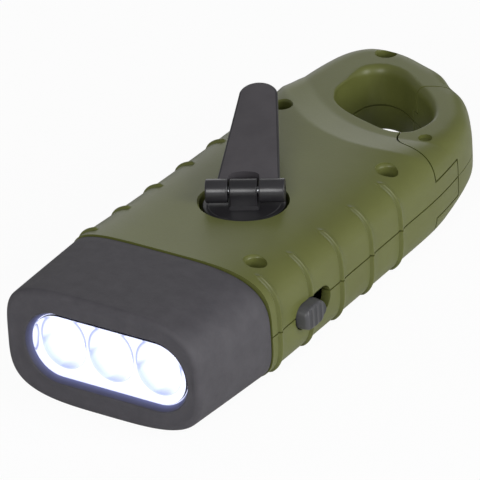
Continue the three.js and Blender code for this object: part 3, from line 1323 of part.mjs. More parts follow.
const crank = new THREE.Group();
crank.position.set(...crankSpot, 0);
crank.rotation.z = HINGE_ANGLE_SHARE * HALF_TURN;
flashlight.add(crank);
add('crank_disc', crankDisc(), blackPlastic, crank);
add('hinge_pin', hingePin(), steel, crank);

const arm = new THREE.Group();
arm.position.z = HINGE_Z;
arm.rotation.x = ARM_RAISE_SHARE * HALF_TURN;
crank.add(arm);
add('crank_arm', crankArm(), darkRubber, arm);
add('crank_knob', crankKnob(), blackPlastic, arm);
add('knob_screw', knobScrew(), steel, arm);

add('crank_bushing', crankBushing(), gearPlastic);
add('drive_gear', driveGear(), gearPlastic, flashlight, crankSpot);
add('crank_clip', crankClip(), steel, flashlight, crankSpot);
add('second_gear', secondGear(), gearPlastic, flashlight, secondSpot);
add('second_gear_axle', axle(), steel, flashlight, secondSpot);
add('third_gear', thirdGear(), gearPlastic, flashlight, thirdSpot);
add('third_gear_axle', axle(), steel, flashlight, thirdSpot);
add('rotor_pinion', rotorPinion(), gearPlastic, flashlight, rotorSpot);
add('rotor_shaft', axle(), steel, flashlight, rotorSpot);
add('rotor_magnet', rotorMagnet(), magnetMetal, flashlight, rotorSpot);
add('stator_core', statorCore(), magnetMetal, flashlight, rotorSpot);
add('generator_coil', generatorCoil(), copperWire, flashlight, rotorSpot);
add('gear_plate', gearPlate(), gearPlastic);
const plateScrewSize = {
  shankR: PLATE_SCREW_R, length: PLATE_SCREW_LENGTH, headR: PLATE_SCREW_HEAD_R,
  headHeight: PLATE_SCREW_HEAD_HEIGHT,
};
Object.entries(plateScrewSpots).forEach(([name, spot]) => {
  add(name, slottedScrew(...spot, PLATE_TOP, plateScrewSize), steel);
});

add('battery_pack', battery(0), cellWrap);
add('main_board', mainBoard(0), boardLaminate);
add('lamp_wire', lampWire(), wireCover);
add('battery_wire', batteryWire(), wireCover);
add('coil_wire', coilWire(), wireCover);
add('switch_body', switchBody(), blackPlastic);
add('switch_knob', switchKnob(), switchPlastic);

add('gate_upper', gateHalf(PARTING_Z, SKY), olivePlastic);
add('gate_lower', gateHalf(0, PARTING_Z), olivePlastic);
add('gate_pin', post(GATE_PIVOT_X, GATE_PIVOT_Y, GATE_PIN_BOTTOM, GATE_PIN_TOP, GATE_PIN_R), steel);
add('gate_spring', gateSpring(), steel);

const caseScrewSize = {
  shankR: SCREW_SHANK_R, length: SCREW_LENGTH, headR: SCREW_HEAD_R, headHeight: SCREW_HEAD_HEIGHT,
};
Object.entries(screwSpots).forEach(([name, spot]) => {
  add(name, slottedScrew(...spot, SCREW_SEAT_Z, caseScrewSize), steel);
});

export default flashlight;
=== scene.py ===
"""Hand crank flashlight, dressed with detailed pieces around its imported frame.

Sizes are in millimetres until a mesh is written. +X is the switch side, +Y runs from
the lamp to the ring and +Z is the crank side.
"""

import json
import logging
import math
from dataclasses import dataclass
from enum import Enum
from typing import Callable, Iterable, Optional, Sequence

import bpy
import numpy as np
from mathutils import Matrix, Vector


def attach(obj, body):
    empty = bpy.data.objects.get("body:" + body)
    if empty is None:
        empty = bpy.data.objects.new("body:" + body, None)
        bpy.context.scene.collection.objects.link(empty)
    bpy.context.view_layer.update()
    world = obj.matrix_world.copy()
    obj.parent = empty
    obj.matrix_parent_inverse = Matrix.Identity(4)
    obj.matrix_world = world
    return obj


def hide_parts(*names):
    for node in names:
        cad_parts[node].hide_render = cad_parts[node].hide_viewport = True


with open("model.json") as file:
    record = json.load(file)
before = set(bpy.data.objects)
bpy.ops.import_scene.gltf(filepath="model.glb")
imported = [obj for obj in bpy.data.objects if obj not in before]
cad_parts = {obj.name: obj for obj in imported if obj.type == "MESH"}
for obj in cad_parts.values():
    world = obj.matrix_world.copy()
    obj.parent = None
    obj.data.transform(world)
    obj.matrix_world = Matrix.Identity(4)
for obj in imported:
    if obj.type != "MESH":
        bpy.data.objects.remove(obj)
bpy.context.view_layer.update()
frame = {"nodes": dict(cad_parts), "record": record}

LOG = logging.getLogger("flashlight")
MM = 0.001
WELD_MM = 0.0005
TURN = 2 * math.pi
LONGEST_ROUNDING = 0.48
LARGE_FACETS = 144
MIDDLE_FACETS = 72
SMALL_FACETS = 48
STEM_FACETS = 32
FINE_FACETS = 24
CORNER_PARTS = 4
BEYOND = 90.0
UNDER = -1.0
OVERRUN = 30.0
CRANK_Y = 24.8
LAMP_PITCH = 11.4
LAMP_Z = 12.7
FACE_Y = -29.0
WINDOW_X = 0.9

Ring = np.ndarray
Pair = tuple[float, float]


class Cut(Enum):
    """What a boolean does with its second solid."""

    AWAY = "DIFFERENCE"
    JOIN = "UNION"
    KEEP = "INTERSECT"


class Side(Enum):
    """Which side of a plane is kept."""

    ABOVE = 1
    BELOW = -1


class Slot(Enum):
    """Material slots of the record."""

    OLIVE = "olive_plastic"
    HEAD = "dark_rubber"
    ARM = "arm_plastic"
    BLACK = "black_plastic"
    SWITCH = "switch_plastic"
    CLEAR = "clear_plastic"
    MIRROR = "chromed_plastic"
    LED = "led_resin"
    LEAD = "wire_cover"
    BOARD = "board_laminate"
    GEAR = "gear_plastic"
    STEEL = "steel"
    MAGNET = "magnet_metal"
    COPPER = "copper_wire"
    CELLS = "cell_wrap"


# Selection and modifiers


def focus(piece: Optional[bpy.types.Object] = None) -> None:
    """Leave object mode with only this piece, or nothing, selected."""
    if bpy.context.object and bpy.context.object.mode != "OBJECT":
        bpy.ops.object.mode_set(mode="OBJECT")
    bpy.ops.object.select_all(action="DESELECT")
    if piece:
        piece.select_set(True)
        bpy.context.view_layer.objects.active = piece


def twin(piece: bpy.types.Object, name: str) -> bpy.types.Object:
    """Copy a piece with a mesh of its own.

    Args:
        piece: The piece to copy.
        name: Name of the copy.

    Returns:
        The copy.
    """
    focus(piece)
    bpy.ops.object.duplicate(linked=False)
    copy = bpy.context.object
    copy.name = name
    return copy


def cut(piece: bpy.types.Object, tool: bpy.types.Object, how: Cut = Cut.AWAY) -> bpy.types.Object:
    """Cut, join or intersect a piece with a tool, which is used up.

    Args:
        piece: The closed solid that stays.
        tool: The closed solid that works on it.
        how: What happens between the two.

    Returns:
        The piece.
    """
    focus(piece)
    modifier = piece.modifiers.new("cut", "BOOLEAN")
    modifier.operation = how.value
    modifier.solver = "MANIFOLD"
    modifier.object = tool
    bpy.ops.object.modifier_apply(modifier=modifier.name)
    bpy.data.objects.remove(tool)
    return piece


def smooth(piece: bpy.types.Object, degrees: float = 32) -> bpy.types.Object:
    """Shade smooth, with edges sharper than the angle left crisp."""
    focus(piece)
    bpy.ops.object.shade_smooth_by_angle(angle=math.radians(degrees))
    return piece


def moved(piece: bpy.types.Object, matrix: Matrix) -> bpy.types.Object:
    """Put a place in millimetres into the piece's mesh."""
    shift = matrix.copy()
    shift.translation = matrix.translation * MM
    piece.data.transform(shift)
    return piece


# Solids from rings


def lofted(name: str, rings: Sequence[Ring], looped: bool = False) -> bpy.types.Object:
    """Stretch a primitive grid over rings of points and close it.

    Args:
        name: Name of the piece.
        rings: Rings of equal count, in millimetres.
        looped: Whether the last ring runs on into the first.

    Returns:
        The closed solid.
    """
    stations = list(rings) + ([rings[0]] if looped else [])
    around, along = len(stations[0]), len(stations) - 1
    focus()
    bpy.ops.mesh.primitive_grid_add(x_subdivisions=around, y_subdivisions=along, size=2)
    piece = bpy.context.object
    piece.name = name
    flat = np.empty(3 * len(piece.data.vertices), np.float32)
    piece.data.vertices.foreach_get("co", flat)
    share = (flat.reshape(-1, 3)[:, :2] + 1) / 2
    column = np.rint(share[:, 0] * around).astype(int) % around
    row = np.rint(share[:, 1] * along).astype(int)
    points = np.array(stations, dtype=float)[row, column] * MM
    piece.data.vertices.foreach_set("co", points.astype(np.float32).ravel())
    piece.data.update()
    bpy.ops.object.mode_set(mode="EDIT")
    bpy.ops.mesh.select_all(action="SELECT")
    bpy.ops.mesh.remove_doubles(threshold=WELD_MM * MM)
    bpy.ops.mesh.dissolve_degenerate(threshold=WELD_MM * MM)
    if not looped:
        bpy.ops.mesh.select_all(action="SELECT")
        bpy.ops.mesh.fill_holes(sides=0)
    bpy.ops.mesh.select_all(action="SELECT")
    bpy.ops.mesh.normals_make_consistent(inside=False)
    bpy.ops.object.mode_set(mode="OBJECT")
    return piece


def level_ring(plan: Sequence[Pair], z: float) -> Ring:
    """Lift a plan to a height."""
    return np.array([(x, y, z) for x, y in plan])


def prism(name: str, plan: Sequence[Pair], z0: float, z1: float) -> bpy.types.Object:
    """Raise a plan from one height to another."""
    return lofted(name, [level_ring(plan, z0), level_ring(plan, z1)])


def block(name: str, low: Sequence[float], high: Sequence[float]) -> bpy.types.Object:
    """A plain cutting block between two corners."""
    plan = [(low[0], low[1]), (high[0], low[1]), (high[0], high[1]), (low[0], high[1])]
    return prism(name, plan, low[2], high[2])


def split(piece: bpy.types.Object, height: float, side: Side) -> bpy.types.Object:
    """Cut a piece at a level.

    Args:
        piece: The solid to cut.
        height: The level in millimetres.
        side: The side that is kept.

    Returns:
        The piece.
    """
    low, high = sorted((height, height - side.value * BEYOND))
    return cut(piece, block("level_tool", (-BEYOND, -BEYOND, low), (BEYOND, 2 * BEYOND, high)))


def turned(name: str, profile: Sequence[Pair], steps: int = 96, looped: bool = False) -> bpy.types.Object:
    """Turn a profile of radius and height pairs about Z.

    Args:
        name: Name of the piece.
        profile: Radius and height pairs in order along the skin.
        steps: Facets in a turn.
        looped: Whether the profile closes on itself.

    Returns:
        The turned solid.
    """
    angles = np.arange(steps) * TURN / steps
    circle = np.stack([np.cos(angles), np.sin(angles), np.zeros(steps)], 1)
    rings = [circle * radius + (0, 0, height) for radius, height in profile]
    return lofted(name, rings, looped)


def peg(
    name: str, x: float, y: float, z0: float, z1: float, radius: float, steps: int = 64
) -> bpy.types.Object:
    """An upright round cutting peg."""
    tool = turned(name, [(radius, z0), (radius, z1)], steps)
    return moved(tool, Matrix.Translation((x, y, 0)))


def filleted(points: Sequence[Pair], radius: float, steps: int = 5, closed: bool = False) -> list[Pair]:
    """Round the corners of a line.

    Args:
        points: Corners in order.
        radius: How far a corner's rounding reaches along its sides.
        steps: Parts in a rounding.
        closed: Whether the line joins its own start.

    Returns:
        The rounded line.
    """
    line = [Vector(p) for p in points]
    made: list[Pair] = []
    for i, corner in enumerate(line):
        if not closed and i in (0, len(line) - 1):
            made.append(tuple(corner))
            continue
        arms = []
        for other in (line[i - 1], line[(i + 1) % len(line)]):
            arm = other - corner
            arms.append(arm.normalized() * min(radius, arm.length * LONGEST_ROUNDING))
        for step in range(steps + 1):
            t = step / steps
            made.append(tuple(corner + arms[0] * (1 - t) ** 2 + arms[1] * t**2))
    return made


def spread(line: np.ndarray, distance: float | np.ndarray) -> np.ndarray:
    """Move the points of a closed line outward; the line runs clockwise from above."""
    before, after = np.roll(line, 1, 0), np.roll(line, -1, 0)
    out = np.stack([before[:, 1] - after[:, 1], after[:, 0] - before[:, 0]], 1)
    return line + distance * out / np.linalg.norm(out, axis=1, keepdims=True)


def smooth_line(pairs: Sequence[Pair], closed: bool, steps: int) -> np.ndarray:
    """Run a centripetal spline through points.

    Args:
        pairs: The points it passes.
        closed: Whether it closes on itself.
        steps: Parts that the whole line is divided into.

    Returns:
        Points along the line.
    """
    knots = np.array(pairs, dtype=float)
    count = len(knots)
    made = []
    for share in np.linspace(0, 1, steps + 1):
        place = share * (count if closed else count - 1)
        i = min(int(place), count - 1 if closed else count - 2)
        t = place - i
        p1, p2 = knots[i % count], knots[(i + 1) % count]
        p0 = knots[i - 1] if closed or i > 0 else 2 * p1 - p2
        p3 = knots[(i + 2) % count] if closed or i + 2 < count else 2 * p2 - p1
        parts = ((p0, p1), (p1, p2), (p2, p3))
        d0, d1, d2 = (max(np.linalg.norm(b - a), 1e-6) ** 0.5 for a, b in parts)
        m1 = (p1 - p0) / d0 - (p2 - p0) / (d0 + d1) + (p2 - p1) / d1
        m2 = (p2 - p1) / d1 - (p3 - p1) / (d1 + d2) + (p3 - p2) / d2
        c2 = 3 * (p2 - p1) - (2 * m1 + m2) * d1
        c3 = 2 * (p1 - p2) + (m1 + m2) * d1
        made.append(p1 + m1 * d1 * t + c2 * t**2 + c3 * t**3)
    return np.array(made)


def clamp(value: np.ndarray | float) -> np.ndarray | float:
    """Hold a value between 0 and 1."""
    return np.clip(value, 0, 1)


def ease(value: np.ndarray | float) -> np.ndarray | float:
    """Rise smoothly from 0 to 1."""
    held = clamp(value)
    return held * held * (3 - 2 * held)


def mix(a: float, b: float, t: np.ndarray | float) -> np.ndarray | float:
    """Blend from a to b."""
    return a + (b - a) * t


def quarter(steps: int) -> list[Pair]:
    """Sine and cosine at equal steps of a quarter turn."""
    turns = [i / steps * math.pi / 2 for i in range(steps + 1)]
    return [(math.sin(turn), math.cos(turn)) for turn in turns]


# Finishes


def linear(colour: str) -> tuple[float, float, float, float]:
    """Turn an sRGB hex colour into Blender's linear values."""
    parts = [int(colour[i : i + 2], 16) / 255 for i in (1, 3, 5)]
    made = [c / 12.92 if c <= 0.04045 else ((c + 0.055) / 1.055) ** 2.4 for c in parts]
    return (*made, 1.0)


def add_node(
    tree: bpy.types.NodeTree, kind: str, values: Optional[dict] = None, links: Optional[dict] = None,
    **settings: str,
) -> bpy.types.Node:
    """Add a node with its socket values, its incoming links and its settings.

    Args:
        tree: The node tree it goes in.
        kind: Blender's name of the node type.
        values: Socket values by socket name or number.
        links: Output sockets by the name or number of the socket they feed.
        **settings: The node's own properties.

    Returns:
        The new node.
    """
    made = tree.nodes.new(kind)
    for key, value in settings.items():
        setattr(made, key, value)
    for key, value in (values or {}).items():
        made.inputs[key].default_value = value
    for key, output in (links or {}).items():
        tree.links.new(output, made.inputs[key])
    return made


def maths(
    tree: bpy.types.NodeTree, operation: str, links: dict, values: Optional[dict] = None
) -> bpy.types.NodeSocket:
    """Add a math node and give back its result."""
    return add_node(tree, "ShaderNodeMath", values, links, operation=operation).outputs[0]


def set_stops(ramp: bpy.types.Node, stops: Sequence[tuple[float, str]]) -> None:
    """Put colours along a ramp.

    Args:
        ramp: A colour ramp that still has its own two stops.
        stops: Places along it with their colours, in order.
    """
    own = ramp.color_ramp.elements
    for element, (place, colour) in ((own[0], stops[0]), (own[1], stops[-1])):
        element.position = place
        element.color = linear(colour)
    for place, colour in stops[1:-1]:
        own.new(place).color = linear(colour)


@dataclass(frozen=True)
class Finish:
    """A moulded, turned or plated surface with soft patches and a fine grain.

    The patch and grain sizes are in millimetres on the real piece.
    """

    name: str
    colour: str
    shade: str
    patch: float
    grain: float
    grain_depth: float
    roughness: Pair
    metallic: float = 0.0
    ior: float = 1.5
    stretch: tuple[float, float, float] = (1.0, 1.0, 1.0)
    patch_detail: float = 3.0
    patch_roughness: float = 0.6
    patch_range: Pair = (0.3, 0.7)
    grain_detail: float = 2.0

    def noise(self, tree: bpy.types.NodeTree, size: float, **values: float) -> bpy.types.NodeSocket:
        """Add noise of a real size, drawn out as the finish is.

        Args:
            tree: The node tree it goes in.
            size: Its pattern's size in millimetres.
            **values: Its other socket values.

        Returns:
            The noise from 0 to 1.
        """
        place = add_node(tree, "ShaderNodeTexCoord").outputs["Object"]
        scaled = add_node(tree, "ShaderNodeMapping", {"Scale": self.stretch}, {"Vector": place})
        values["Scale"] = 1 / (size * MM)
        noise = add_node(tree, "ShaderNodeTexNoise", values, {"Vector": scaled.outputs["Vector"]})
        return noise.outputs["Fac"]

    def material(self) -> bpy.types.Material:
        """Build the finish as shader nodes.

        Returns:
            The material.
        """
        material = bpy.data.materials.new(self.name)
        material.use_nodes = True
        tree = material.node_tree
        shader = tree.nodes["Principled BSDF"]
        patches = self.noise(tree, self.patch, Detail=self.patch_detail, Roughness=self.patch_roughness)
        grain = self.noise(tree, self.grain, Detail=self.grain_detail)
        ramp = add_node(tree, "ShaderNodeValToRGB", links={"Fac": patches})
        set_stops(ramp, list(zip(self.patch_range, (self.shade, self.colour))))
        tree.links.new(ramp.outputs["Color"], shader.inputs["Base Color"])
        spread_of = {"To Min": self.roughness[0], "To Max": self.roughness[1]}
        rough = add_node(tree, "ShaderNodeMapRange", spread_of, {"Value": grain})
        tree.links.new(rough.outputs["Result"], shader.inputs["Roughness"])
        relief = {"Strength": 1.0, "Distance": self.grain_depth * MM}
        bump = add_node(tree, "ShaderNodeBump", relief, {"Height": grain})
        tree.links.new(bump.outputs["Normal"], shader.inputs["Normal"])
        shader.inputs["Metallic"].default_value = self.metallic
        if not self.metallic:
            shader.inputs["IOR"].default_value = self.ior
        return material


@dataclass(frozen=True)
class ClearFinish(Finish):
    """Clear moulded plastic that light passes through."""

    def material(self) -> bpy.types.Material:
        """Build the finish, then let light through it.

        Returns:
            The material.
        """
        material = super().material()
        shader = material.node_tree.nodes["Principled BSDF"]
        shader.inputs["Transmission Weight"].default_value = 1.0
        return material


@dataclass(frozen=True)
class LampAndPaintedGlowFinish(Finish):
    """A surface that gives off light: a lamp's own glow, or painted glow on the cups, where emission stands
    in for the lamps' light.

    With a ring radius, the rim colour lies on a thin ring about each lamp: a painted darker ring in the
    glow, standing in for the shade at a cup's rolled edge. The ring widens above the lamp by the fade.
    """

    glow: str = "#ffffff"
    rim: str = "#ffffff"
    strength: float = 1.0
    painted_ring_radius: float = 0.0
    fade: float = 0.25
    painted_ring_places: tuple[float, float, float] = (0.84, 0.92, 0.97)

    def from_lamp(self, tree: bpy.types.NodeTree) -> bpy.types.NodeSocket:
        """Distance from the nearest lamp's axis, as a share of the rim's radius."""
        place = add_node(tree, "ShaderNodeTexCoord").outputs["Object"]
        apart = add_node(tree, "ShaderNodeSeparateXYZ", links={"Vector": place}).outputs
        middle, half = WINDOW_X * MM, LAMP_PITCH / 2 * MM
        wrapped = maths(tree, "WRAP", {0: apart["X"]}, {1: middle + half, 2: middle - half})
        across = maths(tree, "SUBTRACT", {0: wrapped}, {1: middle})
        height = maths(tree, "SUBTRACT", {0: apart["Z"]}, {1: LAMP_Z * MM})
        flat = add_node(tree, "ShaderNodeCombineXYZ", links={"X": across, "Y": height})
        radius = add_node(tree, "ShaderNodeVectorMath", links={0: flat.outputs[0]}, operation="LENGTH")
        share = maths(tree, "DIVIDE", {0: radius.outputs["Value"]}, {1: self.painted_ring_radius * MM})
        above = maths(tree, "MAXIMUM", {0: height}, {1: 0.0})
        return maths(tree, "MULTIPLY_ADD", {0: above, 2: share}, {1: -self.fade / (self.painted_ring_radius * MM)})

    def material(self) -> bpy.types.Material:
        """Build the finish, then add its light.

        Returns:
            The material.
        """
        material = super().material()
        tree = material.node_tree
        shader = tree.nodes["Principled BSDF"]
        shader.inputs["Emission Strength"].default_value = self.strength
        if not self.painted_ring_radius:
            shader.inputs["Emission Color"].default_value = linear(self.glow)
            return material
        # Painted shade: a darker ring in the glow about each lamp, near a cup's rim
        ramp = add_node(tree, "ShaderNodeValToRGB", links={"Fac": self.from_lamp(tree)})
        ring = list(zip(self.painted_ring_places, (self.glow, self.rim, self.glow)))
        set_stops(ramp, [(0.0, self.glow), *ring, (1.0, self.glow)])
        tree.links.new(ramp.outputs["Color"], shader.inputs["Emission Color"])
        return material


@dataclass(frozen=True)
class PaintedGlowWallFinish(Finish):
    """A wall round the window with painted glow: emission that brightens with depth behind the face stands
    in for the lamps' light inside.
    """

    depth: float = 5.6
    stops: tuple[tuple[float, str], ...] = (
        (0.0, "#17171c"), (0.16, "#3a3d5c"), (0.3, "#5d6494"),
        (0.5, "#8f98c8"), (0.8, "#c4cbee"), (1.0, "#f2f4ff"),
    )

    def material(self) -> bpy.types.Material:
        """Build the finish, then add painted glow: emission that grows with depth.

        Returns:
            The material.
        """
        material = super().material()
        tree = material.node_tree
        shader = tree.nodes["Principled BSDF"]
        place = add_node(tree, "ShaderNodeTexCoord").outputs["Object"]
        apart = add_node(tree, "ShaderNodeSeparateXYZ", links={"Vector": place})
        ends = {"From Min": FACE_Y * MM, "From Max": (FACE_Y + self.depth) * MM}
        share = add_node(tree, "ShaderNodeMapRange", ends, {"Value": apart.outputs["Y"]})
        ramp = add_node(tree, "ShaderNodeValToRGB", links={"Fac": share.outputs["Result"]})
        set_stops(ramp, self.stops)
        tree.links.new(ramp.outputs["Color"], shader.inputs["Emission Color"])
        shader.inputs["Emission Strength"].default_value = 1.0
        return material


# The head's own rubber inside the window, with painted glow: emission stands in for the lamps' light on it
PAINTED_GLOW_WALL = PaintedGlowWallFinish("soft_touch_rubber_painted_lamp_glow", "#3c3b45", "#363540", 3.2, 0.5, 0.01, (0.35, 0.45))
# The arm's barrels and the band round its top edge are smoother and darker than its faces
POLISHED = Finish("polished_nylon_barrels", "#363538", "#302f32", 5, 0.4, 0.002, (0.26, 0.33))

FINISHES: dict[Slot, Finish] = {
    # Injection-moulded ABS with a spark-eroded satin grain: soft broad highlights
    Slot.OLIVE: Finish("satin_moulded_abs_olive", "#676c37", "#626633", 14, 0.45, 0.012, (0.36, 0.46)),
    # Soft-touch overmoulding: nearly no highlight and faint cloudy patches
    Slot.HEAD: Finish("soft_touch_rubber_charcoal", "#504e53", "#48464b", 3.2, 0.5, 0.02, (0.6, 0.72)),
    # Glass-filled nylon: dry, even and slightly grainy
    Slot.ARM: Finish("moulded_nylon_charcoal", "#535054", "#4c494d", 5, 0.4, 0.014, (0.4, 0.52)),
    # Polished-tool ABS: small bright highlights
    Slot.BLACK: Finish("polished_moulded_abs_black", "#2a292c", "#242326", 6, 0.6, 0.002, (0.28, 0.34)),
    Slot.SWITCH: Finish("moulded_abs_grey", "#4f4f52", "#48484b", 3, 0.4, 0.01, (0.36, 0.46)),
    # Polished polycarbonate, with hardly any ripple from the mould
    Slot.CLEAR: ClearFinish(
        "clear_moulded_polycarbonate", "#eef1ff", "#e6eaff", 12, 6, 0.002, (0.01, 0.03), ior=1.58
    ),
    # Vacuum-metallised cups with painted glow: emission stands in for the lamps' light, with a painted
    # darker ring near each cup's rim
    Slot.MIRROR: LampAndPaintedGlowFinish(
        "vacuum_metallised_cups_painted_glow", "#7d828f", "#6c7180", 8, 1.2, 0.01, (0.12, 0.22), metallic=1.0,
        glow="#f8f9ff", rim="#8a91bb", strength=1.4, painted_ring_radius=5.6,
    ),
    Slot.LED: LampAndPaintedGlowFinish(
        "lit_cast_epoxy_lamp", "#ffffff", "#f4f7ff", 3, 1, 0.002, (0.05, 0.1), glow="#eef2ff", strength=3.0
    ),
    Slot.LEAD: Finish("extruded_pvc_lead_red", "#a3302a", "#962a25", 4, 0.5, 0.006, (0.4, 0.5)),
    Slot.BOARD: Finish("solder_masked_laminate_green", "#2f6b3a", "#28602f", 2, 0.4, 0.01, (0.35, 0.5)),
    Slot.GEAR: Finish("moulded_acetal_natural", "#e6e2d6", "#dcd8cb", 5, 0.5, 0.008, (0.38, 0.5)),
    # Zinc-plated steel, brushed round its axis when it was turned
    Slot.STEEL: Finish(
        "zinc_plated_steel", "#b9bbbe", "#a9abaf", 2, 0.25, 0.006, (0.22, 0.36), metallic=1.0,
        stretch=(1, 1, 6),
    ),
    Slot.MAGNET: Finish("sintered_ferrite", "#55565a", "#4a4b4f", 1.5, 0.3, 0.02, (0.5, 0.65), metallic=0.6),
    # Enamelled winding: fine turns lie across the coil's height
    Slot.COPPER: Finish(
        "enamelled_copper_winding", "#b4652c", "#8f4a1e", 1, 0.4, 0.04, (0.25, 0.4), metallic=1.0,
        stretch=(0.2, 0.2, 3),
    ),
    Slot.CELLS: Finish("shrink_wrapped_pvc_blue", "#3f6f9e", "#376391", 6, 0.7, 0.01, (0.3, 0.42)),
}


class Paint:
    """Makes each finish once and puts it on pieces."""

    def __init__(self) -> None:
        """Start with no material made."""
        self.made: dict[Slot, bpy.types.Material] = {}

    def on(self, piece: bpy.types.Object, slot: Slot) -> None:
        """Give a piece one finish all over.

        Args:
            piece: The piece to finish.
            slot: The finish's slot.
        """
        if slot not in self.made:
            self.made[slot] = FINISHES[slot].material()
        piece.data.materials.clear()
        piece.data.materials.append(self.made[slot])

    def part(self, piece: bpy.types.Object, finish: Finish, chosen: Callable[[Vector], bool]) -> None:
        """Give the faces whose middle is chosen a second finish.

        Args:
            piece: The piece, which has its first finish.
            finish: The second finish.
            chosen: Tells by a face's middle, in millimetres, whether it is taken.
        """
        index = len(piece.data.materials)
        piece.data.materials.append(finish.material())
        for face in piece.data.polygons:
            if chosen(face.center / MM):
                face.material_index = index

    def finish(self, piece: bpy.types.Object, slot: Slot, body: str, *nodes: str) -> None:
        """Finish a new piece and tie it to the frame.

        Args:
            piece: The new piece.
            slot: Its material slot.
            body: The CAD body that it rides on.
            *nodes: The CAD nodes that it stands for.
        """
        self.on(piece, slot)
        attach(piece, body)
        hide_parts(*nodes)
        LOG.info("%s: %d faces, rides on %s", piece.name, len(piece.data.polygons), body)

    def dress_nodes(self) -> None:
        """Finish each CAD node by the slot that the record gives it."""
        for row in frame["record"]["subparts"]:
            self.on(frame["nodes"][row["node"]], Slot(row["material_slot"]))


# The two shells and the gate

SPAN_TRIES = 400
SPAN_LEAST = 4
OUTLINE_STEPS = 420
HOLE_STEPS = 152
RIB_ROWS = (-1.5, -1.35, -1.2, -1.05, -0.95, -0.87, -0.79, -0.7, -0.55, -0.4, -0.25, -0.1, 0.1, 0.3)
OUTLINE_SHARES = [
    (-0.996, -0.3), (-0.996, 0), (-1, 0.247), (-1, 0.474), (-1.008, 0.747), (-1.015, 0.802),
    (-0.988, 0.873), (-0.93, 0.933), (-0.844, 0.968), (-0.723, 0.991), (-0.545, 1), (-0.327, 0.995),
    (-0.099, 0.977), (0.138, 0.954), (0.325, 0.918), (0.523, 0.887), (0.685, 0.841),
    (0.795, 0.8), (0.857, 0.755), (0.907, 0.689), (0.945, 0.613), (0.964, 0.472), (0.988, 0.141),
    (0.992, 0), (0.992, -0.3),
]
HOLE_SHARES = [
    (-0.98, -0.02), (-0.99, 0.3), (-0.98, 0.58), (-0.9, 0.84), (-0.68, 0.99), (-0.36, 0.95),
    (0.04, 0.69), (0.42, 0.43), (0.73, 0.12), (0.93, -0.24), (0.97, -0.52), (0.9, -0.78),
    (0.68, -0.92), (0.42, -0.92), (0.12, -0.84), (-0.2, -0.74), (-0.52, -0.6), (-0.77, -0.42),
    (-0.9, -0.22),
]


@dataclass(frozen=True)
class Bore:
    """An upright round hole between two levels."""

    name: str
    low: float
    high: float
    radius: float
    steps: int = STEM_FACETS

    def tool(self, x: float, y: float) -> bpy.types.Object:
        """The hole's cutting peg at a place."""
        return peg(self.name, x, y, self.low, self.high, self.radius, self.steps)


@dataclass(frozen=True)
class Lip:
    """A round hole's softened rim.

    It starts this far below the skin, widens and rises in a quarter round, and the
    mouth above it opens a little more.
    """

    below: float
    widening: float
    rise: float
    mouth: float
    parts: int = 5

    def profile(self, radius: float, floor: float, skin: float, top: float) -> list[Pair]:
        """Radius and height pairs from a hole's floor up through its rim.

        Args:
            radius: The hole's radius.
            floor: Level of its floor.
            skin: Level of the skin round it.
            top: Level where the tool ends.

        Returns:
            The pairs.
        """
        start = skin - self.below
        line = [(radius, floor), (radius, start)]
        for i, (_, cosine) in enumerate(quarter(self.parts)[1:], 1):
            line.append((radius + self.widening * (1 - cosine), start + self.rise * i / self.parts))
        return [*line, (radius + self.mouth, top)]


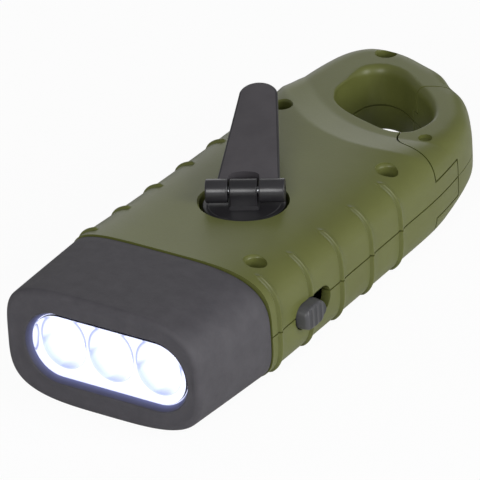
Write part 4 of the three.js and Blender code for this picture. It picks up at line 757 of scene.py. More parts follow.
@dataclass
class Housing:
    """The moulded body: two shells, the ring's hole, and the gate in its side."""

    half_width: float = 24.5
    front_y: float = -3.4
    length: float = 108.66
    wall: float = 2.0
    parting_z: float = 11.8
    seam: float = 0.17
    crown_front: float = 13.6
    crown_rear: float = 11.3
    crown_end_y: float = 52.0
    belly_depth: float = 12.3
    belly_end_y: float = 64.0
    band_x: float = 7.5
    band_y: float = 58.2
    band_sweep: float = 27.0
    band_run: float = 9.0
    band_drop: float = 2.0
    band_soft: float = 0.4
    ring_crown_y: float = 76.0
    ring_under_y: float = 86.0
    ring_under: float = 6.2
    ring_edge: float = 5.6
    left_shoulder: float = 5.3
    right_shoulder: float = 3.8
    belly_power: float = 3.9
    ring_powers: Pair = (3.2, 4.4)
    rib_count: int = 5
    rib_pitch: float = 12.0
    rib_height: float = 0.54
    rib_front: float = 1.05
    rib_rise: float = 0.35
    rib_crest: float = 0.5
    rib_fall: float = 0.8
    rib_tail: float = 2.9
    rib_crisp_share: float = 0.55
    rib_inset: float = 5.2
    rib_fade: float = 0.7
    rib_bottom: float = 10.6
    rib_bottom_fade: float = 1.2
    groove_depth: float = 0.22
    groove_front: float = 1.2
    groove_half: float = 0.3
    hole_y: float = 82.0
    hole_half_width: float = 13.2
    hole_half_length: float = 13.0
    hole_crisp: float = 0.35
    hole_flare: float = 1.7
    hole_under: float = 1.0
    flare_front: float = 3.0
    flare_slant: float = 0.5
    flare_run: float = 9.0
    flare_drop: float = 1.3
    pivot: Pair = (16.0, 70.4)
    seam_start: Pair = (23.0, 62.7)
    seam_run: float = 25.0
    nose: float = 5.9
    nose_end: float = 0.94
    reach: float = 24.0
    reach_ends: Pair = (0.83, 0.5)
    slack: float = 0.19
    tongue_radius: float = 3.2
    tongue_end: float = 1.15
    tongue_levels: Pair = (4.6, 4.0)
    cheek_levels: Pair = (4.75, 4.15)
    lip_root: float = 1.0
    lip_depth: float = 1.8
    lip_end: float = 0.7
    lip_length: float = 2.4
    lip_half: float = 2.6
    lip_slack: float = 0.3
    around: int = 132
    rows: int = 340
    row_knee_share: float = 0.86
    row_reach_share: float = 0.94
    row_gap: float = 0.04
    tail_gap: float = 0.02
    room_end_shares: Pair = (-0.02, 0.985)
    room_around: int = 72
    room_rows: int = 70
    hole_parts: int = 8
    gate_parts: int = 36
    tongue_parts: int = 24
    lip_parts: int = 16
    slot_parts: int = 20
    gate_wall: float = 3.8
    post_wall: float = 1.1
    boss: Bore = Bore("boss_tool", 19.0, 39.0, 10.5, 96)
    well_radius: float = 2.2
    well_floor: float = 14.6
    well_lip: Lip = Lip(0.5, 0.45, 0.6, 0.9)
    wells: tuple[Pair, ...] = ((16.6, 3.5), (17.5, 52.8), (-17.4, 66.4), (-12.3, 101.1))
    shank: Bore = Bore("shank_tool", 10.0, 15.0, 1.2)
    pilot: Bore = Bore("pilot_tool", 8.8, 13.0, 1.0)
    recess_radius: float = 9.4
    recess_floor: float = 21.0
    recess_lip: Lip = Lip(0.35, 0.4, 0.45, 0.5)
    shaft: Bore = Bore("shaft_tool", 17.0, 22.0, 4.4, 64)
    pin: Bore = Bore("pin_tool", 6.7, 19.0, 1.3)
    pin_well_depth: float = 0.9
    pin_well_radius: float = 1.5
    slot_ends: Pair = (5.2, 18.7)
    slot_levels: Pair = (8.2, 14.0)
    slot_mouth: tuple[Pair, ...] = ((21.4, 0.0), (24.0, 0.0), (24.3, 0.08), (24.6, 0.25), (26.5, 0.5))

    def __post_init__(self) -> None:
        """Work out the outline of the shells and of the ring's hole."""
        outline = [(x * self.half_width, self.front_y + y * self.length) for x, y in OUTLINE_SHARES]
        hole = [(x * self.hole_half_width, self.hole_y + y * self.hole_half_length) for x, y in HOLE_SHARES]
        self.outline = smooth_line(outline, False, OUTLINE_STEPS)
        self.hole = smooth_line(hole, True, HOLE_STEPS)[:-1]
        self.end_y = float(self.outline[:, 1].max())
        self.sky = self.parting_z + 2 * self.crown_front

    def depth(self, points: np.ndarray) -> np.ndarray:
        """Distance of plan points from the outline."""
        start, step = self.outline[:-1], np.diff(self.outline, axis=0)
        gap = points[:, None, :] - start[None]
        along = clamp((gap * step).sum(-1) / (step * step).sum(-1))
        return np.linalg.norm(gap - along[..., None] * step, axis=-1).min(1)

    def tailward(self, y: float) -> Pair:
        """How far a row's top and underside are on the way from the body to the ring."""
        top = ease((y - self.crown_end_y) / (self.ring_crown_y - self.crown_end_y))
        under = ease((y - self.belly_end_y) / (self.ring_under_y - self.belly_end_y))
        return float(top), float(under)

    def fullness(
        self, x: np.ndarray, y: float, inward: np.ndarray, inset: float, top: np.ndarray
    ) -> np.ndarray:
        """Share of its full height that the skin has at a row's points.

        Args:
            x: The points across the row.
            y: The row.
            inward: The points' distances from the outline.
            inset: How far inside the outer skin the row keeps.
            top: Which points are on the top.

        Returns:
            The shares, 0 at the outline and 1 away from it.
        """
        above, below = self.tailward(y)
        tail = np.where(top, above, below)
        edge = mix(self.half_width, self.ring_edge, tail) - inset
        shoulder = np.where(x < 0, self.left_shoulder, self.right_shoulder)
        over, under = self.ring_powers
        power = np.where(top, mix(shoulder, over, tail), mix(self.belly_power, under, tail))
        return (1 - (1 - clamp((inward - inset) / edge)) ** power) ** (1 / power)

    def crown(self, x: np.ndarray, y: float) -> np.ndarray:
        """Height of the top above the parting plane, away from the edges."""
        along = clamp((y - self.front_y) / (self.band_y - self.front_y))
        plateau = mix(self.crown_front, self.crown_rear, 1 - (1 - along) ** 2)
        band = self.band_y + (x - self.band_x) ** 2 / (2 * self.band_sweep)
        fall = clamp((y - band) / self.band_run)
        soft = clamp((y - band + self.band_soft) / (2 * self.band_soft))
        return plateau - self.band_drop * np.where(soft < 1, soft**2 * self.band_soft / self.band_run, fall)

    def span(self, y: float, inset: float) -> Optional[Pair]:
        """The stretch of a row that lies inside the outline.

        Args:
            y: The row.
            inset: How far inside the outline the stretch keeps.

        Returns:
            Its two ends, or None where the row misses.
        """
        a, b = self.outline[:-1], self.outline[1:]
        hit = (a[:, 1] - y) * (b[:, 1] - y) <= 0
        hit &= a[:, 1] != b[:, 1]
        xs = (a + (b - a) * ((y - a[:, 1]) / np.where(hit, b[:, 1] - a[:, 1], 1))[:, None])[hit, 0]
        if len(xs) < 2:
            return None
        low, high = float(xs.min()), float(xs.max())
        if inset == 0:
            return low, high
        tries = np.linspace(low, high, SPAN_TRIES)
        deep = tries[self.depth(np.stack([tries, np.full(SPAN_TRIES, y)], 1)) > inset]
        return (float(deep[0]), float(deep[-1])) if len(deep) > SPAN_LEAST else None

    def rib(self, y: float) -> float:
        """Height of the grip ribs at a row: steep in front, drawn out behind."""
        nearest = min(max(round(y / self.rib_pitch), 0), self.rib_count - 1) * self.rib_pitch
        offset = y - nearest
        past = offset + self.rib_crest
        crisp, drawn = 1 - ease(past / self.rib_fall), (1 - clamp(past / self.rib_tail)) ** 2
        crest = mix(drawn, crisp, self.rib_crisp_share) * ease((offset + self.rib_front) / self.rib_rise)
        groove = max(0.0, 1 - abs(offset + self.groove_front) / self.groove_half)
        return self.rib_height * float(crest) - self.groove_depth * groove

    def section(self, y: float, span: Pair, around: int, inset: float) -> Ring:
        """One ring of the skin, from its left edge over the top and back below.

        Args:
            y: The row.
            span: Its two ends.
            around: Points in the ring.
            inset: How far inside the outer skin the ring keeps.

        Returns:
            The ring.
        """
        turn = np.arange(around) / around
        x = (span[0] + span[1]) / 2 - (span[1] - span[0]) / 2 * np.cos(TURN * turn)
        inward = self.depth(np.stack([x, np.full(around, y)], 1))
        top = turn < 0.5
        fullness = self.fullness(x, y, inward, inset, top)
        fullness[[0, around // 2]] = 0
        belly = mix(self.belly_depth, self.ring_under, self.tailward(y)[1])
        height = np.where(top, self.crown(x, y) - inset, inset - belly) * fullness
        ring = np.stack([x, np.full(around, y), self.parting_z + height], 1)
        rise = self.rib(y) if inset == 0 else 0
        if rise:
            before, after = np.roll(ring, 1, 0), np.roll(ring, -1, 0)
            out = np.stack([before[:, 2] - after[:, 2], after[:, 0] - before[:, 0]], 1)
            out /= np.linalg.norm(out, axis=1, keepdims=True)
            side = ease((self.rib_inset - inward) / self.rib_fade)
            side *= ease((height + self.rib_bottom) / self.rib_bottom_fade)
            ring[:, 0] += out[:, 0] * rise * side
            ring[:, 2] += out[:, 1] * rise * side
        return ring

    def hull(self, name: str, rows: Iterable[float], around: int, inset: float) -> bpy.types.Object:
        """Loft the skin, or a smaller skin inside it, through its rows."""
        spans = [(y, self.span(y, inset)) for y in rows]
        return lofted(name, [self.section(y, span, around, inset) for y, span in spans if span])

    def skin_rows(self) -> list[float]:
        """Rows of the outer skin, closer together over the ribs and where the tail rounds off."""
        knee, reach = self.row_knee_share, self.row_reach_share
        share = np.linspace(0, 1, self.rows)
        rounded = reach + (1 - reach) * (1 - (1 - clamp((share - knee) / (1 - knee))) ** 2)
        along = np.where(share < knee, share / knee * reach, rounded)
        rows = self.front_y + along * (self.end_y - self.tail_gap - self.front_y)
        ribs = [i * self.rib_pitch + np.array(RIB_ROWS) for i in range(self.rib_count)]
        made = np.sort(np.concatenate([rows, *ribs]))
        return list(made[np.concatenate([[True], np.diff(made) > self.row_gap])])

    def hole_column(self, extra: float) -> bpy.types.Object:
        """The ring's hole as a tool: its upper rim is crisp in front and broadly rounded behind."""
        top = self.parting_z + self.crown_rear - self.band_drop
        bottom = self.parting_z - self.ring_under
        behind = self.hole[:, 1] - self.hole_y + self.flare_front + self.flare_slant * self.hole[:, 0]
        above = mix(self.hole_crisp, self.hole_flare, ease(behind / self.flare_run)[:, None])
        below = self.hole_under
        rounding = quarter(self.hole_parts)
        rings = [level_ring(spread(self.hole, below + extra), bottom - OVERRUN)]
        for sine, cosine in rounding:
            ring = level_ring(spread(self.hole, below * (1 - sine) + extra), bottom)
            ring[:, 2] += below * (1 - cosine)
            rings.append(ring)
        for sine, cosine in rounding[::-1]:
            ring = level_ring(spread(self.hole, above * (1 - sine) + extra), top)
            ring[:, 2] -= above[:, 0] * self.flare_drop * (1 - cosine)
            rings.append(ring)
        rings.append(level_ring(spread(self.hole, above + extra), top + OVERRUN))
        return lofted("hole_tool", rings)

    def about_pivot(self, radius: float, angle: float) -> Pair:
        """A point at a radius and angle about the gate's pin."""
        return self.pivot[0] + radius * math.cos(angle), self.pivot[1] + radius * math.sin(angle)

    def arc(self, radius: float, start: float, end: float, steps: int) -> list[Pair]:
        """Points of an arc about the gate's pin.

        Args:
            radius: The arc's radius.
            start: Where it starts, in half turns from +X.
            end: Where it ends, in half turns.
            steps: Parts in it.

        Returns:
            The points in order.
        """
        return [self.about_pivot(radius, mix(start, end, i / steps) * math.pi) for i in range(steps + 1)]

    def gate_tool(self, margin: float) -> bpy.types.Object:
        """The gate's sector of the ring: seam, nose about the pin, and the arc of its free end."""
        line = Vector(self.seam_start) - Vector(self.pivot)
        foot = math.atan2(line.y, line.x) % TURN - math.acos(self.nose / line.length)
        nose, reach = self.nose + margin, self.reach + margin
        outward = Vector((-math.sin(foot), math.cos(foot)))
        plan = [tuple(Vector(self.about_pivot(nose, foot)) + self.seam_run * outward)]
        plan += self.arc(nose, foot / math.pi, self.nose_end, self.gate_parts)
        plan.append((0.0, self.hole_y))
        plan += self.arc(reach, *self.reach_ends, self.gate_parts)
        plan.append((2 * self.half_width, self.pivot[1] + reach))
        return prism("gate_tool", plan, UNDER, self.sky)

    def tongue_tool(self, margin: float, last: float) -> bpy.types.Object:
        """The body's tongue that the gate's two cheeks straddle."""
        radius, front = self.tongue_radius + margin, self.pivot[1] - self.seam_run
        outside = 2 * self.half_width
        plan = [(outside, front), (outside, self.pivot[1] + radius)]
        plan += self.arc(radius, 0.5, last, self.tongue_parts)
        plan.append((plan[-1][0], front))
        below, above = self.tongue_levels
        return prism("tongue_tool", plan, self.parting_z - below - margin, self.parting_z + above + margin)

    def lip_tool(self, margin: float) -> bpy.types.Object:
        """The lip that closes the gate's free end against the ring."""
        inner, outer = self.reach - self.lip_root, self.reach + self.lip_depth + margin
        end = self.lip_end - (self.lip_length + margin) / self.reach / math.pi
        far = self.reach_ends[0]
        plan = self.arc(inner, end, far, self.lip_parts) + self.arc(outer, far, end, self.lip_parts)
        half = self.lip_half + margin
        return prism("lip_tool", plan, self.parting_z - half, self.parting_z + half)

    def gate_room(self) -> bpy.types.Object:
        """What the shells leave free for the gate."""
        room = cut(self.gate_tool(self.slack), self.tongue_tool(-self.slack, self.tongue_end))
        return cut(room, self.lip_tool(self.lip_slack), Cut.JOIN)

    def gate_form(self) -> bpy.types.Object:
        """What the gate fills of the ring."""
        form = cut(self.gate_tool(-self.slack), self.tongue_tool(self.slack, 1.0))
        below, above = self.cheek_levels
        low = (self.pivot[0] - self.seam_run, self.pivot[1] - self.seam_run, self.parting_z - below)
        cut(form, block("room_tool", low, (*self.pivot, self.parting_z + above)))
        return cut(form, self.lip_tool(0), Cut.JOIN)

    def hollow(self) -> bpy.types.Object:
        """The room inside the shells, with its posts, as a tool."""
        rows = self.front_y + np.linspace(*self.room_end_shares, self.room_rows) * self.length
        room = split(self.hull("hollow_tool", rows, self.room_around, self.wall), self.wall, Side.ABOVE)
        cut(room, self.hole_column(self.wall))
        cut(room, self.gate_tool(self.gate_wall))
        for x, y in self.wells:
            cut(room, peg("post_tool", x, y, UNDER, self.sky, self.well_radius + self.post_wall))
        cut(room, self.boss.tool(0, CRANK_Y))
        return room

    def rim_height(self, x: float, y: float) -> float:
        """Height of the top skin above the parting plane at a point."""
        inward = self.depth(np.array([[x, y]]))
        fullness = self.fullness(np.array([x]), y, inward, 0, np.array([True]))
        return float(self.crown(np.array([x]), y)[0] * fullness[0])

    def well_tool(self, x: float, y: float) -> bpy.types.Object:
        """A screw's well with a softened rim."""
        skin = self.parting_z + self.rim_height(x, y)
        profile = self.well_lip.profile(self.well_radius, self.well_floor, skin, self.sky)
        return moved(turned("well_tool", profile, MIDDLE_FACETS), Matrix.Translation((x, y, 0)))

    def recess_tool(self) -> bpy.types.Object:
        """The round recess that the crank's disc turns in."""
        skin = self.parting_z + self.rim_height(0, CRANK_Y)
        profile = self.recess_lip.profile(self.recess_radius, self.recess_floor, skin, self.sky)
        return moved(turned("recess_tool", profile, LARGE_FACETS), Matrix.Translation((0, CRANK_Y, 0)))

    def slot_tool(self) -> bpy.types.Object:
        """The switch's slot in the side wall."""
        (low, high), (front, rear) = self.slot_levels, self.slot_ends
        middle, radius = (low + high) / 2, (high - low) / 2
        plan = []
        for centre, start in ((rear - radius, -0.5), (front + radius, 0.5)):
            turns = [(start + i / self.slot_parts) * math.pi for i in range(self.slot_parts + 1)]
            plan += [(centre + radius * math.cos(t), middle + radius * math.sin(t)) for t in turns]
        rings = []
        for x, grow in self.slot_mouth:
            line = spread(np.array(plan)[::-1], grow)
            rings.append(np.stack([np.full(len(line), x), line[:, 0], line[:, 1]], 1))
        return lofted("slot_tool", rings)

    def build(self, paint: Paint) -> None:
        """Model the shells and the gate from one skin."""
        skin = split(self.hull("moulded_skin", self.skin_rows(), self.around, 0), 0, Side.ABOVE)
        cut(skin, self.hole_column(0))
        gate = cut(twin(skin, "moulded_gate"), self.gate_form(), Cut.KEEP)
        cut(skin, self.gate_room())
        cut(skin, self.hollow())
        cut(skin, self.slot_tool())
        lower = twin(skin, "lower_shell")
        split(lower, self.parting_z - self.seam, Side.BELOW)
        split(skin, self.parting_z + self.seam, Side.ABOVE)
        skin.name = "upper_shell"
        cut(skin, self.recess_tool())
        cut(skin, self.shaft.tool(0, CRANK_Y))
        for x, y in self.wells:
            cut(skin, self.well_tool(x, y))
            cut(skin, self.shank.tool(x, y))
            cut(lower, self.pilot.tool(x, y))
        gate_low = split(twin(gate, "lower_gate"), self.parting_z - self.seam / 2, Side.BELOW)
        split(gate, self.parting_z + self.seam / 2, Side.ABOVE)
        gate.name = "upper_gate"
        for piece in (skin, lower, gate, gate_low):
            cut(piece, self.pin.tool(*self.pivot))
        floor = self.parting_z + self.rim_height(*self.pivot) - self.pin_well_depth
        cut(gate, peg("pin_well_tool", *self.pivot, floor, self.sky, self.pin_well_radius, SMALL_FACETS))
        for piece, body, node in (
            (skin, "body", "top_shell"), (lower, "body", "bottom_shell"),
            (gate, "gate", "gate_upper"), (gate_low, "gate", "gate_lower"),
        ):
            paint.finish(smooth(piece), Slot.OLIVE, body, node)


# The lamp head

# Radius and height pairs of a lamp's foot, and the lip added round a bowl's mouth
LAMP_FOOT = [(0, 0), (2.8, 0), (2.9, 0.1), (2.9, 0.8), (2.8, 0.9), (2.5, 0.95)]
BOWL_LIP = [(0.12, 0.02), (0.16, 1.0)]


@dataclass
class LampHead:
    """The soft-touch head with its lens, cups and three lamps."""

    rear_y: float = -3.6
    rear_half: float = 24.2
    face_half: float = 23.3
    rear_middle: float = 11.8
    rear_up: float = 13.4
    rear_down: float = 12.1
    face_height: float = 13.0
    rear_edge: tuple[Pair, ...] = ((0.0, 0.5), (0.15, 0.15), (0.5, 0.0))
    side_rows: int = 14
    edge: float = 1.2
    edge_parts: int = 10
    left_powers: Pair = (5.3, 4.2)
    right_powers: Pair = (3.3, 3.3)
    under_powers: Pair = (3.9, 3.5)
    around: int = 160
    dish: float = 0.25
    dish_parts: int = 8
    rim: float = 0.3
    rim_inset: float = 0.1
    seat: float = 1.75
    seat_soft: float = 0.05
    seat_parts: int = 4
    slope: float = 0.8
    bore_room: float = 0.3
    bore_end: float = 8.0
    neck_insets: Pair = (4.9, 3.3)
    neck_front: float = 6.0
    neck_end: float = -0.4
    painted_glow_from: float = 0.26
    painted_glow_beside: float = 0.5
    lens_length: float = 20.6
    lens_height: float = 9.0
    overlap: float = 0.9
    pad_gap: float = 0.25
    pad_front: float = 1.2
    pad_soft: float = 0.4
    pad_face: float = 0.5
    flange: float = 1.9
    flange_soft: float = 0.2
    lens_rear: float = 3.0
    lens_rear_soft: float = 0.1
    cup_depth: float = 3.1
    cup_rear: float = 12.3
    cup_soft: float = 0.3
    bowl_throat: float = 3.2
    bowl_mouth: float = 5.2
    bowl_parts: int = 16
    bowl_start: float = -1.0
    lamp_radius: float = 2.5
    lamp_height: float = 7.4
    lamp_rear: float = 12.5
    dome_parts: int = 12
    crease: float = 40.0
    flat: tuple[tuple[float, float, float], ...] = ((2.62, -4.0, -1.0), (4.0, 4.0, 1.2))

    def angles(self) -> np.ndarray:
        """Directions about the head's axis, spaced as on an ellipse twice as wide as high."""
        turn = np.arange(self.around) * TURN / self.around
        return np.arctan2(np.sin(turn), 2 * np.cos(turn))

    def skin_ring(self, y: float, inset: float) -> Ring:
        """A ring of the head's outer skin.

        Args:
            y: Where along the head.
            inset: How far inside the full section it keeps.

        Returns:
            The ring.
        """
        t = float(clamp((self.rear_y - y) / (self.rear_y - FACE_Y)))
        wide = mix(self.rear_half, self.face_half, t) - inset
        up = mix(self.rear_up, self.face_height, t) - inset
        down = mix(self.rear_down, self.face_height, t) - inset
        across, upward = np.cos(self.angles()), np.sin(self.angles())
        high = np.where(upward > 0, up, down)
        powers = (self.left_powers, self.right_powers, self.under_powers)
        left, right, under = (mix(*pair, t) for pair in powers)
        power = np.where(upward < 0, under, np.where(across < 0, left, right))
        radius = (np.abs(across / wide) ** power + np.abs(upward / high) ** power) ** (-1 / power)
        middle = mix(self.rear_middle, LAMP_Z, t)
        return np.stack([radius * across, np.full(self.around, y), middle + radius * upward], 1)

    def stadium(self, behind: float, inset: float) -> Ring:
        """A ring of the window's long round-ended outline.

        Args:
            behind: How far behind the face it lies.
            inset: How far inside the outline it keeps.

        Returns:
            The ring.
        """
        wide, high = self.lens_length - inset, self.lens_height - inset
        across, upward = np.cos(self.angles()), np.sin(self.angles())
        c, s = np.abs(across), np.abs(upward)
        flat = high / np.maximum(s, 1e-9)
        centre = wide - high
        round_end = centre * c + np.sqrt(np.maximum(high**2 - (centre * s) ** 2, 0))
        radius = np.where(flat * c <= centre, flat, round_end)
        ring_y = np.full(self.around, FACE_Y + behind)
        return np.stack([WINDOW_X + radius * across, ring_y, LAMP_Z + radius * upward], 1)

    def in_window(self, point: Vector) -> bool:
        """Whether a point lies on the wall between the face and the cups, which gets the painted glow."""
        beside = max(abs(point.x - WINDOW_X) - self.lens_length + self.lens_height, 0)
        from_axis = math.hypot(beside, point.z - LAMP_Z)
        behind = point.y - FACE_Y
        return self.painted_glow_from < behind < self.cup_depth and from_axis < self.lens_height + self.painted_glow_beside

    def bezel(self) -> bpy.types.Object:
        """The head as one skin: side, rounded edge, face, window, bore and neck."""
        rings = [self.skin_ring(self.rear_y - forward, inset) for forward, inset in self.rear_edge]
        side = np.linspace(self.rear_y - self.rear_edge[-1][0], FACE_Y + self.edge, self.side_rows)
        rings += [self.skin_ring(y, 0) for y in side[1:]]
        for sine, cosine in quarter(self.edge_parts)[1:]:
            rings.append(self.skin_ring(FACE_Y + self.edge * (1 - sine), self.edge * (1 - cosine)))
        mouth = self.overlap + self.rim_inset
        outer, inner = self.skin_ring(FACE_Y, self.edge), self.stadium(0, mouth - self.rim)
        for i in range(1, self.dish_parts):
            ring = mix(outer, inner, i / self.dish_parts)
            ring[:, 1] = FACE_Y + self.dish * math.sin(i / self.dish_parts * math.pi)
            rings.append(ring)
        for sine, cosine in quarter(CORNER_PARTS):
            rings.append(self.stadium(self.rim * (1 - cosine), mouth - self.rim * (1 - sine)))
        for share in (i / self.seat_parts for i in range(1, self.seat_parts + 1)):
            behind = mix(self.rim, self.seat - self.seat_soft, share)
            rings.append(self.stadium(behind, mouth + self.slope * share))
        rings.append(self.stadium(self.seat, self.overlap + self.slope))
        bore_end = self.rear_y - self.bore_end - FACE_Y
        for behind in (self.seat, (self.seat + self.cup_depth) / 2, self.cup_depth, bore_end):
            rings.append(self.stadium(behind, -self.bore_room))
        inner, outer = self.neck_insets
        rings += [self.skin_ring(self.rear_y - self.neck_front, inner), self.skin_ring(self.neck_end, inner)]
        rings += [self.skin_ring(self.neck_end, outer), self.skin_ring(self.rear_y, outer)]
        return split(lofted("lamp_head", rings, looped=True), 0, Side.ABOVE)

    def lens(self) -> bpy.types.Object:
        """The clear window: a pad that fills the opening, on a flange behind it."""
        pad = self.overlap + self.slope + self.pad_gap
        rings = [self.stadium(self.pad_front, pad + self.pad_face)]
        for sine, cosine in quarter(CORNER_PARTS)[1:]:
            behind = self.pad_front + self.pad_soft * (1 - cosine)
            rings.append(self.stadium(behind, pad + self.pad_soft * (1 - sine)))
        soft, rear_soft = self.flange_soft, self.lens_rear_soft
        rings += [self.stadium(self.flange, pad), self.stadium(self.flange, soft)]
        rings += [self.stadium(self.flange + soft, 0), self.stadium(self.lens_rear - rear_soft, 0)]
        rings.append(self.stadium(self.lens_rear, rear_soft))
        return lofted("window_lens", rings)

    def facing(self, x: float, behind: float) -> Matrix:
        """Place of something turned about Z that looks out of the face.

        Args:
            x: How far beside the window's middle it stands.
            behind: How far behind the face its foot lies.

        Returns:
            The place.
        """
        place = Matrix.Translation((WINDOW_X + x, FACE_Y + behind, LAMP_Z))
        return place @ Matrix.Rotation(math.pi / 2, 4, "X")

    def cups(self) -> bpy.types.Object:
        """The metallised plate with three bowls and their rolled rims."""
        front, rear, soft = self.cup_depth, self.cup_rear, self.cup_soft
        rings = [self.stadium(front, soft), self.stadium(front + soft, 0), self.stadium(rear, 0)]
        plate = lofted("lamp_cups", rings)
        depth, profile = rear - front, [(self.bowl_throat, self.bowl_start)]
        for i in range(self.bowl_parts + 1):
            share = i / self.bowl_parts
            profile.append((mix(self.bowl_throat, self.bowl_mouth, share), depth * share**2))
        profile += [(self.bowl_mouth + out, depth + on) for out, on in BOWL_LIP]
        for x in (-LAMP_PITCH, 0, LAMP_PITCH):
            cut(plate, moved(turned("bowl_tool", profile), self.facing(x, rear)))
        return plate

    def lamp(self, name: str, x: float) -> bpy.types.Object:
        """One lamp: flange, straight side and domed end, its round flange cut flat at one side."""
        radius, shoulder = self.lamp_radius, self.lamp_height - self.lamp_radius
        rounding = quarter(self.dome_parts)[:-1]
        dome = [(radius * cosine, shoulder + radius * sine) for sine, cosine in rounding]
        piece = turned(name, [*LAMP_FOOT, *dome, (0, self.lamp_height)], SMALL_FACETS)
        cut(piece, block("flat_tool", *self.flat))
        return moved(piece, self.facing(x, self.lamp_rear))

    def build(self, paint: Paint) -> None:
        """Model the head and all that shows through its window."""
        bezel = smooth(self.bezel(), self.crease)
        paint.finish(bezel, Slot.HEAD, "body", "head_bezel")
        # The wall inside the window gets painted glow: emission in place of the lamps' light
        paint.part(bezel, PAINTED_GLOW_WALL, self.in_window)
        paint.finish(smooth(self.lens()), Slot.CLEAR, "body", "lens")
        # The cups' finish carries painted glow, emission in place of the lamps' light
        paint.finish(smooth(self.cups()), Slot.MIRROR, "body", "reflector")
        for name, x in (("left", -LAMP_PITCH), ("middle", 0.0), ("right", LAMP_PITCH)):
            paint.finish(smooth(self.lamp(f"lamp_{name}", x)), Slot.LED, "body", f"led_{name}")


# The crank

# Radius and height pairs from the shaft's foot to the middle of the disc's shallow dish
DISC_PROFILE = [
    (0, 4.9), (2, 4.9), (2, 14.6), (3, 14.6), (3, 21.3), (8.7, 21.3), (8.7, 23.2), (7.6, 23.2),
    (7.5, 23.08), (0, 23.08),
]
# Radius and height above the knob's foot: socket, foot, widest band, waist and top
KNOB_PROFILE = [
    (1.6, 1.4), (2.0, 1.4), (2.0, 0.0), (3.2, 0.0), (3.7, 0.75), (3.7, 1.5), (3.2, 3.0), (3.2, 4.4),
    (1.6, 4.4),
]
# The space between the arm's barrels: its straight side, across as a share, and the top of its arch
ARCH_SHARES = [(1.0, -4.0), (1.0, 3.4)]
ARCH_TOP = [(2.2, 4.1), (0.0, 4.4), (-2.2, 4.1)]


